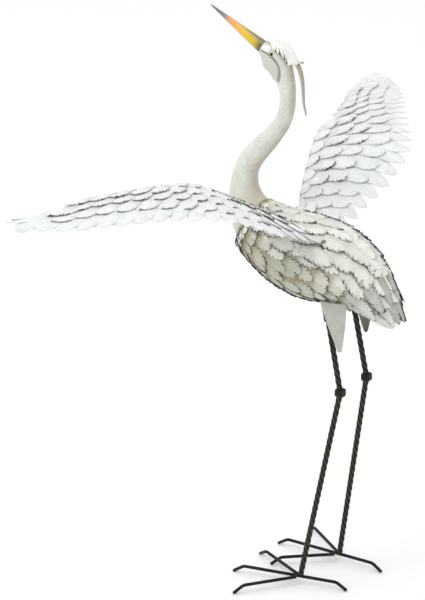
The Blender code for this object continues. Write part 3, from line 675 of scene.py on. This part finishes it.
def neckPoint(share, angle, lift=0.0):
    # Angle 0 is the throat side, 180 degrees the crown
    share = np.asarray(share, float)
    values, tangent = spineAt(neck["stations"], share, 0.005, -np.array(body["seam"]), 0.06)
    return ovalAt(values[..., :2], tangent, values[..., 2], values[..., 3], angle, lift)


def facePoint(mark, lift=0.0):
    # Place of a face mark on the left side of the head
    share, degrees = neck[mark]
    return neckPoint(share, math.radians(degrees), lift)


def makeNeck(material):
    s, a = ringGrid(np.concatenate([np.linspace(0, 0.68, 110), np.linspace(0.683, 1, 150)]), 96)
    share, turned = s.ravel(), fromZero(a).ravel() / np.pi
    folded = neckPoint(s, a).reshape(-1, 3)
    folded[:, 0] = np.abs(folded[:, 0])
    # Distance from each point of the head to the groove, and the share of its way that is nearest
    route = smooth(neck["groove"], np.linspace(0, 1, 160))
    path = neckPoint(route[:, 0], np.radians(route[:, 1]))
    head = share > neck["headStart"]
    gaps = np.linalg.norm(folded[head][:, None] - path, axis=-1)
    groove, along = np.ones(share.size), np.zeros(share.size)
    groove[head], along[head] = gaps.min(1), gaps.argmin(1) / (len(path) - 1)
    depth = np.exp(-(groove / neck["grooveWidth"]) ** 2) * (1 - 0.6 * easeStep(0.8, 1.0, along))
    # Painted shadow along the groove, wider and fainter towards its lower end
    shade = np.exp(-(groove / (neck["grooveWidth"] * (0.75 + 1.3 * along))) ** 2)
    shade = shade * (1 - 0.25 * easeStep(0.25, 0.6, along))
    loreGap = np.linalg.norm((folded - facePoint("lore")) * (1.0, 0.75, 1.15), axis=1)
    eyeGap = np.linalg.norm(folded - facePoint("eye"), axis=1)
    # The lore is marked for a white patch that is partly paint and partly painted highlight
    loreMark = 1 - easeStep(0.0030, 0.0095, loreGap)
    under = turned * 180 < np.interp(share, *zip(*sorted(neck["groove"])))
    # The throat below the groove swells, and is marked for grey painted shade
    throat = easeStep(0.0, 0.0040, groove) * under * easeStep(0.70, 0.76, share)
    # The groove is pressed in; the throat and lore swell, and a ring is pressed in round the eye
    lift = (0.0009 * throat + 0.0009 * loreMark + 0.0005 * (1 - easeStep(0.003, 0.006, eyeGap))
            - neck["grooveDepth"] * depth - 0.0005 * np.exp(-((eyeGap - 0.0052) / 0.0012) ** 2))
    points = neckPoint(s, a, lift.reshape(s.shape))
    points[0] += statue["gap"] * np.array([0, -body["seam"][0], -body["seam"][1]])
    marks = {"skin": np.stack([share, turned, shade], -1),
             "face": np.stack([loreMark, 1 - easeStep(0.0035, 0.0060, eyeGap), throat], -1)}
    makeTube("headAndNeck", points, material, ["head_and_neck"], marks)


def neckMaterial():
    # Satin enamel: the eye sees a cloudy off-white, browner grey down the back of the neck as painted shade,
    # beige low down with a brown line at the seam, a dark painted shadow along the cheek groove, grey painted
    # shade on the throat below it, and a white patch, partly paint and partly painted highlight, before the
    # yellowish ring of the eye
    material, add, shader, (cloud, speck, dents), (skin, face) = newMaterial(
        "satin off-white enamel on formed steel tube", {"Roughness": 0.38},
        ((0.022, 3, 0.55), (0.003, 3, 0.65), (0.004, 2, 0.55)), ("skin", "face"))
    share, turned, groove = skin
    lore, eye, throat = face
    colour = layPaint(add, "#d3d6cd",
                      ("#c6c8bb", (cloud, 0.32, 0.68)),
                      ("#e2e3dd", (speck, 0.35, 0.75, 0.0, 0.55)),
                      ("#adad9e", (speck, 0.45, 0.25, 0.0, 0.5)),
                      # Painted shade down the back of the neck
                      ("#a9a28a", (turned, 0.62, 1.0, 0.0, 0.75), (cloud, 0.2, 0.6, 0.6, 1.0)),
                      ("#bcb89f", (share, 0.0, 0.3, 0.55, 0.0), (speck, 0.2, 0.7, 0.5, 1.0)),
                      # Grey painted shade on the throat
                      ("#b9bab1", (throat, 0.0, 1.0, 0.0, 0.6)),
                      # White patch on the lore, partly paint and partly painted highlight
                      ("#e9ebeb", (lore, 0.1, 0.9, 0.0, 0.85)),
                      ("#cfcb9a", (eye, 0.0, 1.0, 0.0, 0.7)),
                      # Painted shadow along the cheek groove
                      ("#5e5c49", (groove, 0.15, 0.95, 0.0, 0.9)),
                      ("#8c8468", (share, 0.004, 0.016, 0.7, 0.0)))
    finishPaint(add, shader, colour, dents, 0.0003)
    return material


eyes = {"ring": 0.0046, "pupil": 0.0029, "beadFoot": 0.0005, "beadHeight": 0.0009,
        "colours": ((0.0, "#0b0b09"), (0.60, "#0e0d0a"), (0.68, "#968f55"), (0.85, "#c3bf93"),
                    (0.97, "#b9b58e"))}


def makeEyes():
    # Gloss enamel: the eye sees a black bead with a sharp highlight in a yellow-green painted ring. Each
    # is turned from a profile of (radius, height) about the head's normal.
    material, add, shader, _, _ = newMaterial("gloss enamel eye, black bead in a yellow ring",
                                              {"Roughness": 0.16, "Coat Weight": 0.4})
    radius = add("Attribute", output="Fac", attribute_name="radius")
    outward = add("Math", (radius, eyes["ring"] * 1000), operation="DIVIDE")
    connect(shader, {"Base Color": add("ValToRGB", [outward], stops=eyes["colours"])})
    ring, pupil, foot = eyes["ring"], eyes["pupil"], eyes["beadFoot"]
    rise = math.pi / 2 * np.linspace(0, 1, 7)[1:-1]
    bead = np.stack([pupil * np.cos(rise), foot + eyes["beadHeight"] * np.sin(rise)], -1)
    profile = np.array([(ring, -0.0010), (ring, 0.0001), (ring * 0.92, 0.0005), (ring * 0.70, 0.0007),
                        (pupil * 1.08, foot), *bead])
    turn = fullTurn(32)[:, None]
    for name, side in hands.items():
        centre = facePoint("eye") * (side, 1, 1)
        normal = unit(facePoint("eye", 0.01) * (side, 1, 1) - centre)
        first = unit(np.cross(normal, (0.1, 0.2, 1.0)))
        spoke = first * np.cos(turn) + np.cross(normal, first) * np.sin(turn)
        points = centre + profile[:, :1, None] * spoke + profile[:, 1:, None] * normal
        marks = {"radius": np.repeat(profile[:, 0], len(turn)) * 1000}
        makeTube(f"{name}Eye", points, material, (), marks)


beak = {"tip": (-0.248, 1.020), "rootHeight": 0.0112, "rootWidth": 0.0078, "tipRadius": 0.0009, "mouth": 38,
        "mouthDepth": 0.0006, "mouthWidth": 7, "rows": 90, "sides": 48,
        "colours": ((0.0, "#4b4519"), (0.05, "#7d7124"), (0.13, "#cbb01c"), (0.34, "#e9bb28"),
                    (0.50, "#e6a94e"), (0.63, "#df9763"), (0.71, "#a58378"), (0.78, "#77716d"),
                    (1.0, "#4f4d4b"))}


def makeBeak(material):
    # Folded cone: an oval section that narrows with the share of the length to the power 1.1, with the
    # mouth line pressed in at one angle above the lower edge
    root = np.array(neck["stations"][-1][:2])
    axis = np.array(beak["tip"]) - root
    length = np.linalg.norm(axis)
    s, a = ringGrid(np.linspace(statue["gap"] / length, 1, beak["rows"]), beak["sides"])
    size = 1 - s ** 1.1
    turned = np.degrees(fromZero(a))
    mouth = np.exp(-((turned - beak["mouth"]) / beak["mouthWidth"]) ** 2) * (1 - easeStep(0.85, 1.0, s))
    high, wide = (beak[key] * size + beak["tipRadius"] for key in ("rootHeight", "rootWidth"))
    pressed = -beak["mouthDepth"] * mouth * size
    points = ovalAt(root + axis * s[..., None], axis / length, high, wide, a, pressed)
    marks = {"bill": np.stack([s, turned / 180, mouth], -1).reshape(-1, 3)}
    makeTube("beakCone", points, material, ["beak"], marks)


def beakMaterial():
    # Airbrushed enamel: the eye sees an olive root that runs through yellow and orange to a grey tip, with
    # a grey-olive shade along the ridge and a brown mouth line
    material, add, shader, (cloud, dents), ((along, turned, mouth),) = newMaterial(
        "airbrushed satin enamel, yellow to grey", {"Roughness": 0.34, "Coat Weight": 0.15},
        ((0.008, 3, 0.55), (0.003, 3, 0.55)), ("bill",))
    place = add("Math", (cloud, 0.06, add("Math", (along, 0.03), operation="SUBTRACT")),
                operation="MULTIPLY_ADD")
    colour = layPaint(add, add("ValToRGB", [place], stops=beak["colours"]),
                      ("#77705a", (turned, 0.62, 0.86), (place, 0.12, 0.55, 0.9, 0.15)),
                      ("#6a5a34", (mouth, 0.25, 0.9, 0.0, 0.8)),
                      ("#7a6a3a", (turned, 0.20, 0.08, 0.0, 0.65)))
    finishPaint(add, shader, colour, dents, 0.0002)
    return material


# Crest plate: how far its edges reach down in degrees at the shares of the neck's length, notches as
# (share, how deep, how wide), and prongs as places across from -1 to 1
crest = {"front": 0.985, "back": 0.775, "lift": 0.0009, "flare": 0.0112, "dome": 0.0034, "rows": 150,
         "columns": 61,
         "reach": ((0.985, 0.963, 0.931, 0.900, 0.870, 0.840, 0.810, 0.790, 0.775),
                   (7, 23, 38, 50, 51, 47, 42, 39, 37)),
         "notches": ((0.860, 0.34, 0.0062), (0.824, 0.36, 0.0062), (0.798, 0.40, 0.0056),
                     (0.780, 0.44, 0.0050)),
         "notchSlant": 0.11, "prongs": (-0.62, -0.20, 0.22), "prongLength": 0.0075}


def makeCrest(materials):
    # Plate over the crown: rows run back along the head, columns round it from edge to edge. The lower edge
    # is cut by narrow notches, only shallow, and further in each notch is painted near-black as wash and
    # painted shadow in the slit; the back edge runs out in short prongs that curl up.
    t = np.linspace(0, 1, crest["rows"])[:, None]
    v = np.linspace(-1, 1, crest["columns"])[None, :]
    s = crest["front"] + (crest["back"] - crest["front"]) * t
    places, angles = crest["reach"]
    reach = np.radians(np.interp(s, places[::-1], angles[::-1]))
    cut, slit = np.ones_like(s), np.zeros_like(s * v)
    for place, deep, width in crest["notches"]:
        gap = s - place - crest["notchSlant"] * (1 - np.abs(v))
        taper = 0.35 + 0.85 * easeStep(0.95 - deep, 1.0, np.abs(v))
        outer = easeStep(0.92 - deep, 1.08 - deep, np.abs(v))
        slit = np.maximum(slit, np.exp(-(gap / (width * taper)) ** 2) * outer)
        cut = cut - 0.4 * deep * np.clip(1 - np.abs(gap / width), 0, 1) ** 0.7
    scallop = 0.03 * np.sin(np.pi * np.clip((crest["front"] - s) / 0.21, 0, 1) * 5) ** 2
    turn = np.pi - v * reach * (cut + scallop)
    prong = sum(np.clip(1 - np.abs(v - place) / 0.13, 0, 1) for place in crest["prongs"])
    run = np.clip((t - 0.93) / 0.07, 0, 1) * prong
    lift = crest["lift"] + crest["flare"] * t ** 1.5 * (1 - 0.35 * v ** 2) + 0.0050 * run ** 2
    lift = lift + crest["dome"] * np.sin(np.pi * t) * (1 - v ** 2) + 0.0007 * np.abs(v) ** 6
    points = neckPoint(s * np.ones_like(v), turn, lift)
    points = points + run[..., None] * unit(points[-1] - points[-6]) * crest["prongLength"]
    edge = np.minimum((1 - np.abs(v)) * reach * 0.017, 0.0016 + (1 - t) * 0.05) * 1000
    # The notches are painted dark, partly wash and partly painted shadow in the slit, and so are the prongs
    edge = edge * (1 - slit) - 2.2 * slit - 4.0 * run ** 2
    piece = makePiece("crestPlate", points[:, ::-1], gridFaces(*edge.shape), materials, ["crest_plate"],
                      {"rimGap": edge[:, ::-1].ravel()})
    addWall(piece, offset=0, material_offset_rim=1)


def crestMaterial():
    # White satin enamel: the eye sees a clean cool white whose cut edge carries an olive-brown wash, and
    # whose notches are near-black, partly wash and partly painted shadow in the slits
    material, add, shader, (speck, cloud, dents), _ = newMaterial(
        "white satin enamel, edges washed olive", {"Roughness": 0.36},
        ((0.002, 2, 0.7), (0.014, 3, 0.55), (0.003, 3, 0.55)))
    gap = add("Attribute", output="Fac", attribute_name="rimGap")
    edgeWashAndSlitShadow = add("Math", (speck, 1.2, gap), operation="MULTIPLY_ADD")
    colour = layPaint(add, "#e9ebe8",
                      ("#dbddd7", (cloud, 0.3, 0.7)),
                      ("#cdcaae", (edgeWashAndSlitShadow, 0.8, 3.0, 0.6, 0.0)),
                      ("#77735c", (edgeWashAndSlitShadow, 0.4, 0.9, 0.7, 0.0)),
                      ("#25231a", (edgeWashAndSlitShadow, -0.4, 0.4, 1.0, 0.0)))
    finishPaint(add, shader, colour, dents, 0.0003)
    return material


plume = {"path": ((-0.0752, 0.9495), (-0.0650, 0.9365), (-0.0585, 0.917), (-0.0562, 0.898), (-0.0545, 0.879),
                  (-0.0490, 0.858)), "halfWidth": 0.0084, "halfThick": 0.0029, "taper": 0.30}


def makePlume(material):
    # Flat strip that tapers down, rounded off at its end and drawn in at its root; two shallow folds run
    # down it
    t, a = ringGrid(np.linspace(0, 1, 70), 24)
    path = smooth(plume["path"], t[:, 0])
    tangent = unit(np.gradient(path, axis=0))[:, None]
    size = (1 - (1 - plume["taper"]) * t) * (0.62 + 0.38 * easeStep(0.0, 0.16, t))
    size = size * np.sqrt(np.clip(1 - np.clip((t - 0.97) / 0.03, 0, 1) ** 2, 0.04, 1))
    fold = 1 - 0.16 * np.cos(a * 3) * (1 - t)
    thick, wide = plume["halfThick"] * size * fold, plume["halfWidth"] * size
    points = ovalAt(path[:, None], tangent, thick, wide, a, 0.0)
    # The rear side of the strip is marked for painted shade
    marks = {"rear": (0.5 + 0.5 * np.cos(a)).ravel()}
    makeTube("crestPlume", points, material, ["crest_plume"], marks)


def plumeMaterial():
    # Satin enamel: the eye sees a warm white strip that turns brown round to the rear, as painted shade
    material, add, shader, (cloud, dents), _ = newMaterial(
        "satin enamel, white shaded brown", {"Roughness": 0.38}, ((0.006, 3, 0.55), (0.0025, 3, 0.55)))
    rear = add("Attribute", output="Fac", attribute_name="rear")
    shade = add("Math", (cloud, 0.3, rear), operation="MULTIPLY_ADD")
    finishPaint(add, shader, layPaint(add, "#dcdcd1", ("#979079", (shade, 0.55, 1.25))), dents, 0.0003)
    return material


makeNeck(neckMaterial())
makeEyes()
makeBeak(beakMaterial())
makeCrest((crestMaterial(), darkRim))
makePlume(plumeMaterial())
print("head and neck ready")

# Tail: leaf plates round the end of the body, an upper and a lower row
tail = {
    "lower": dict(start=0.86, reach=122, ahead=0.043, half=0.0112, droop=0.000, proud=0.0006),
    "upper": dict(start=0.74, reach=100, ahead=0.044, half=0.0114, droop=0.003, proud=0.0036),
}
tailFeather = dict(count=6, back=0.022, teeth=7, depth=0.08, blunt=1.25, lip=0.0006, lift=0.0006, tilt=0.0006,
                   spread=0.20)


def makeTail(row):
    # Flat blades that stand off the end of the body along its skin
    form = {**tailFeather, **tail[row]}
    count, reach = form["count"], np.radians(form["reach"])
    angles = (np.arange(count) + 0.5) / count * 2 * reach - reach
    start = np.full(count, form["start"])
    base = bodyPoint(start, angles, form["proud"])
    ahead = unit(bodyPoint(start + 0.04, angles, form["proud"]) - base)
    outward = unit(bodyPoint(start, angles, 0.02) - base)
    outward = unit(outward - ahead * (outward * ahead).sum(-1, keepdims=True))
    ways = np.stack([ahead, np.cross(outward, ahead), outward], 1)
    own = rng.random(count)
    lengths = form["back"] + form["ahead"] * (0.96 + 0.06 * own)
    blades = leafShape(form, lengths, np.full(count, form["half"]))
    run = blades[0] - form["back"]
    points = base[:, None, None] + sum(ways[:, k, None, None] * part[..., None]
                                       for k, part in enumerate((run, blades[1], blades[2])))
    points[..., 2] -= form["droop"] * np.clip(run / form["ahead"], 0, 1) ** 2
    # The leaves spread like a fan
    points[..., 0] += (form["spread"] * np.sin(angles))[:, None, None] * np.clip(run, 0, None)
    # The right-hand leaves, on the far side, get darker edges, more root colour and more of the greyer coat,
    # as painted shade
    dull = easeStep(-0.2, 0.7, -angles)
    marks = featherMarks(blades, 0.34 + 0.3 * dull, 0.30 + 0.3 * dull, 0.4 + 0.5 * dull, own)
    marks["wash"][:, 2] = np.maximum(marks["wash"][:, 2], np.repeat(dull, run[0].size))
    addWall(makePiece(f"{row}TailFeathers", points, featherFaces(run.shape), (greyFeather,),
                      [f"{row}_tail_feathers"], marks))


makeTail("lower")
makeTail("upper")
print("tail ready")

# Thigh plates: plain leaves of sheet hung at the flanks
thigh = {"top": (0.0585, 0.052, 0.561), "lean": (-0.07, 0.135, -1.0), "level": (0, 1.0, 0.10),
         "length": 0.088, "half": 0.0225, "tip": 0.003, "bow": 0.004, "wall": 0.0012, "columns": 17,
         "shift": {"left": (0, 0, 0), "right": (0, -0.015, -0.003)}}


def makeThigh(name, side, materials):
    # A leaf that narrows to a rounded tip and bows outwards across its width
    top = np.array(thigh["top"]) * (side, 1, 1)
    down = unit(np.array(thigh["lean"]) * (side, 1, 1))
    along = unit(np.array(thigh["level"]))
    t = np.concatenate([np.linspace(-0.02, 0.93, 30), np.linspace(0.94, 1.0, 9)])[:, None]
    v = np.linspace(-1, 1, thigh["columns"])
    rounded = np.sqrt(np.clip(1 - ((t - 0.96) / 0.04).clip(0, 1) ** 2, 0.01, 1))
    width = thigh["half"] * (1 - np.clip(t, 0, 1) ** 1.35) + thigh["tip"] * rounded
    points = top + down * thigh["length"] * t[..., None] + along * (width * v)[..., None]
    points[..., 0] += side * thigh["bow"] * (1 - v ** 2)
    faces = gridFaces(len(t), v.size)[:, ::-side]
    marks = {"drop": np.repeat(t.ravel(), v.size)}
    piece = makePiece(f"{name}ThighPlate", points + thigh["shift"][name], faces, materials,
                      [f"{name}_thigh_plate"], marks)
    addWall(piece, thickness=thigh["wall"], offset=1, material_offset_rim=1, material_offset=2)


def plateMaterial(name, pale, dark):
    # Plain enamel: the eye sees a flat, faintly cloudy grey, a little darker, as painted shade, where the
    # plate goes up under the feathers
    material, add, shader, (cloud, dents), _ = newMaterial(name, {"Roughness": 0.45},
                                                           ((0.015, 3, 0.55), (0.004, 3, 0.55)))
    drop = add("Attribute", output="Fac", attribute_name="drop")
    # Darker towards the top as painted shade under the feathers
    colour = layPaint(add, pale, (dark, (cloud, 0.3, 0.7)), ("#9d9a88", (drop, 0.0, 0.25, 0.5, 0.0)))
    finishPaint(add, shader, colour, dents, 0.0003)
    return material


outerPlate = plateMaterial("pale grey enamel on flat sheet steel", "#b7b8b1", "#abaca4")
# The inner side is darker, partly its own undercoat and partly painted shade
innerPlate = plateMaterial("olive-grey undercoat with painted shade on flat sheet steel", "#8b8c7c", "#7d7e6f")
for name, side in hands.items():
    makeThigh(name, side, (outerPlate, paleRim, innerPlate))
print("thigh plates ready")

# Legs: left-handed twisted square bar, joined by blocky collars at the knee
legs = {"knee": (0.042, 0.060, 0.392), "hip": (0.040, 0.026, 0.540), "hubSpread": 0.0550014,
        "stagger": 0.005995, "hubHeight": 0.0145, "barSide": 0.008, "proud": 1.12, "pitch": 0.056,
        "collarWidth": 0.0165,
        "collarHeight": 0.0150, "socketLength": 0.022, "socketLap": 0.002}
feet = {"toe": 0.109, "backToe": 0.067, "end": 0.019, "spread": 37, "turn": {"left": 17, "right": 6},
        "radius": 0.003, "bend": 0.010}


def twistedBar(name, low, high, material, node):
    # Square bar with rounded corners: the section is a superellipse of power 4, and it turns back by one
    # round for each pitch along the bar; both ends are cut level
    axis = unit(high - low)
    length = np.linalg.norm(high - low)
    first = unit(np.cross(axis, (0, 1, 0)))
    second = np.cross(axis, first)
    t, a = ringGrid(np.linspace(0, 1, int(length / legs["pitch"] * 40) + 2), 24)
    half = legs["barSide"] / 2 * legs["proud"]
    radius = half / (np.abs(np.cos(a)) ** 4 + np.abs(np.sin(a)) ** 4) ** (1 / 4)
    turn = a - 2 * np.pi * t * length / legs["pitch"]
    offset = first * (np.cos(turn) * radius)[..., None] + second * (np.sin(turn) * radius)[..., None]
    points = low + axis * length * t[..., None] + offset
    for k, end in ((0, low), (-1, high)):
        points[k] += axis * ((end[2] - points[k][:, 2]) / axis[2])[:, None]
    marks = {"arris": (1 - np.abs(np.cos(2 * a))).ravel()}
    makeTube(name, points, material, [node], marks, 35)


def legMaterial():
    # Olive-black enamel brushed on steel bar: the eye sees a near-black satin, lighter along the arrises so
    # that the twist shows, partly rubbed wear and partly painted highlight
    material, add, shader, (cloud, speck), _ = newMaterial(
        "olive-black satin enamel on steel bar", {"Specular IOR Level": 0.2},
        ((0.02, 3, 0.55), (0.002, 2, 0.7)))
    arris = add("Attribute", output="Fac", attribute_name="arris")
    colour = layPaint(add, "#0e0e08",
                      ("#1f1f16", (cloud, 0.3, 0.7)),
                      # Lighter arrises: partly rubbed wear, partly painted highlight
                      ("#66654c", (arris, 0.4, 1.0), (speck, 0.35, 0.7, 0.25, 0.75)))
    finishPaint(add, shader, colour, speck, 0.0003, Roughness=shareOf(add, (speck, 0.3, 0.7, 0.32, 0.52)))
    return material


def toeRod(name, places, material, node):
    # Round rod along straight runs whose corners are bent round, its low end worn flat on the floor. Its
    # section is set off along two directions square to the path, the first kept as level as that allows.
    path = [places[0]]
    for before, corner, after in zip(places, places[1:], places[2:]):
        start, end = (corner + unit(other - corner) * feet["bend"] / 2 for other in (before, after))
        t = np.linspace(0, 1, 9)[:, None]
        path += list(start * (1 - t) ** 2 + 2 * corner * t * (1 - t) + end * t ** 2)
    path = np.array(path + [places[-1]])
    tangent = unit(np.gradient(path, axis=0))
    first = unit(np.cross(tangent, (0.02, 0.03, 1.0)))
    second = np.cross(tangent, first)
    turn = fullTurn(16)[:, None]
    ring = first[:, None] * np.cos(turn) + second[:, None] * np.sin(turn)
    points = path[:, None] + feet["radius"] * ring
    points[..., 2] = np.maximum(points[..., 2], 0)
    makeTube(name, points, material, [node], {"arris": np.zeros(points[..., 0].size)}, 50)


def makeFoot(name, side, material):
    # One rod is middle and back toe, and two shorter ones start beside it
    hub = np.array([side * legs["hubSpread"], -side * legs["stagger"], legs["hubHeight"]])
    turn, spread = math.radians(feet["turn"][name]), math.radians(feet["spread"])

    def toe(heading, length):
        out = np.array([math.sin(heading), -math.cos(heading), 0.0])
        bend = hub + out * length
        tip = bend + out * feet["end"]
        tip[2] = feet["radius"] * 0.5
        return out, bend, tip

    _, bend, tip = toe(turn, feet["toe"])
    _, backBend, backTip = toe(turn + math.pi, feet["backToe"])
    toeRod(f"{name}LongToeRod", [tip, bend, backBend, backTip], material, f"{name}_long_toe_rod")
    # The side toes start where they clear the long rod
    start = (feet["radius"] + statue["gap"] + feet["radius"] * math.cos(spread)) / math.sin(spread)
    for label, turned in (("outer", side), ("inner", -side)):
        out, bend, tip = toe(turn + turned * spread, feet["toe"])
        places = [hub + out * start, bend, tip]
        toeRod(f"{name}{label.title()}ToeRod", places, material, f"{name}_{label}_toe_rod")
    return hub


def kneeCollar(name, centre, axis, material, node):
    # Block with rounded corners: a superellipsoid of power 5 stood along the leg
    power, half = 5, legs["collarWidth"] / 2
    axis = unit(axis)
    first = unit(np.cross(axis, (0, 1, 0)))
    lat, lon = ringGrid(np.linspace(-0.5, 0.5, 26)[1:-1] * np.pi, 40)
    direction = np.stack([np.cos(lat) * np.cos(lon), np.cos(lat) * np.sin(lon), np.sin(lat)], -1)
    radius = 1 / (np.abs(direction) ** power).sum(-1) ** (1 / power)
    local = direction * radius[..., None] * (half, half, legs["collarHeight"] / 2)
    points = centre + local @ np.stack([first, np.cross(axis, first), axis])
    marks = {"arris": (np.sort(np.abs(local) / half, -1)[..., 1] ** 4).ravel()}
    makeTube(name, points, material, [node], marks, 50)


def makeLeg(name, side, material):
    # Foot, collar, lower bar and upper bar
    hub = makeFoot(name, side, material)
    knee, hip = np.array(legs["knee"]) * (side, 1, 1), np.array(legs["hip"]) * (side, 1, 1)
    foot = hub + (0, 0, feet["radius"] + statue["gap"])
    lower, upper = unit(foot - knee), unit(hip - knee)
    # The bars run a little way into the collar, and the upper one into its socket
    inCollar = legs["collarHeight"] / 2 * 0.8
    socketLow = hip - upper * (legs["socketLength"] - legs["socketLap"])
    kneeCollar(f"{name}KneeCollar", knee, upper - lower, material, f"{name}_knee_collar")
    twistedBar(f"{name}LowerLeg", foot, knee + lower * inCollar, material, f"{name}_lower_leg")
    twistedBar(f"{name}UpperLeg", knee + upper * inCollar, socketLow, material, f"{name}_upper_leg")


# The sockets and set screws keep their solids and take the legs' paint
blackEnamel = legMaterial()
for name, side in hands.items():
    makeLeg(name, side, blackEnamel)
    for node in ("leg_socket", "set_screw"):
        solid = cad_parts[f"{name}_{node}"].data
        solid.materials.clear()
        solid.materials.append(blackEnamel)
print("legs and feet ready")

# Floor: a matt near-white that the eye takes for the photo's backdrop
floorMaterial = newMaterial("pale floor", {"Roughness": 0.9, "Base Color": "#fbfbfb"})[0]
bpy.ops.mesh.primitive_plane_add(size=14, location=(0, 0, 0))
floor = bpy.context.object
floor.name = "floor"
floor.data.materials.append(floorMaterial)

# Lamps as (place, size, power), even light from all round, and the camera
lamps = {"key": ((1.4, -1.0, 3.4), 1.4, 26), "fill": ((1.2, 3.4, 1.6), 2.4, 4)}
camera = {"place": (2.6895, 1.7451, 1.829), "look": (-0.7453, -0.5515, -0.3746), "lens": 119.82,
          "sensor": 36}


def stand(name, data, place, look):
    # A lamp or camera at a place, turned to look along a direction
    thing = bpy.data.objects.new(name, data)
    thing.location = place
    thing.rotation_euler = Vector(look).to_track_quat("-Z", "Y").to_euler()
    bpy.context.scene.collection.objects.link(thing)
    return thing


for name, (place, size, power) in lamps.items():
    data = bpy.data.lights.new(name, "AREA")
    data.size = size
    data.energy = power
    stand(name, data, place, Vector((0, 0, 0.6)) - Vector(place))
world = bpy.data.worlds.new("studio")
world.use_nodes = True
connect(world.node_tree.nodes["Background"], ("#ffffff", 1.0))
bpy.context.scene.world = world
bpy.context.scene.view_settings.view_transform = "Standard"

view = bpy.data.cameras.new("camera")
view.lens = camera["lens"]
view.sensor_width = camera["sensor"]
view.clip_end = 50
cameraPlace = Vector(camera["place"]) + Vector((0, moveBack, 0))
bpy.context.scene.camera = stand("camera", view, cameraPlace, camera["look"])
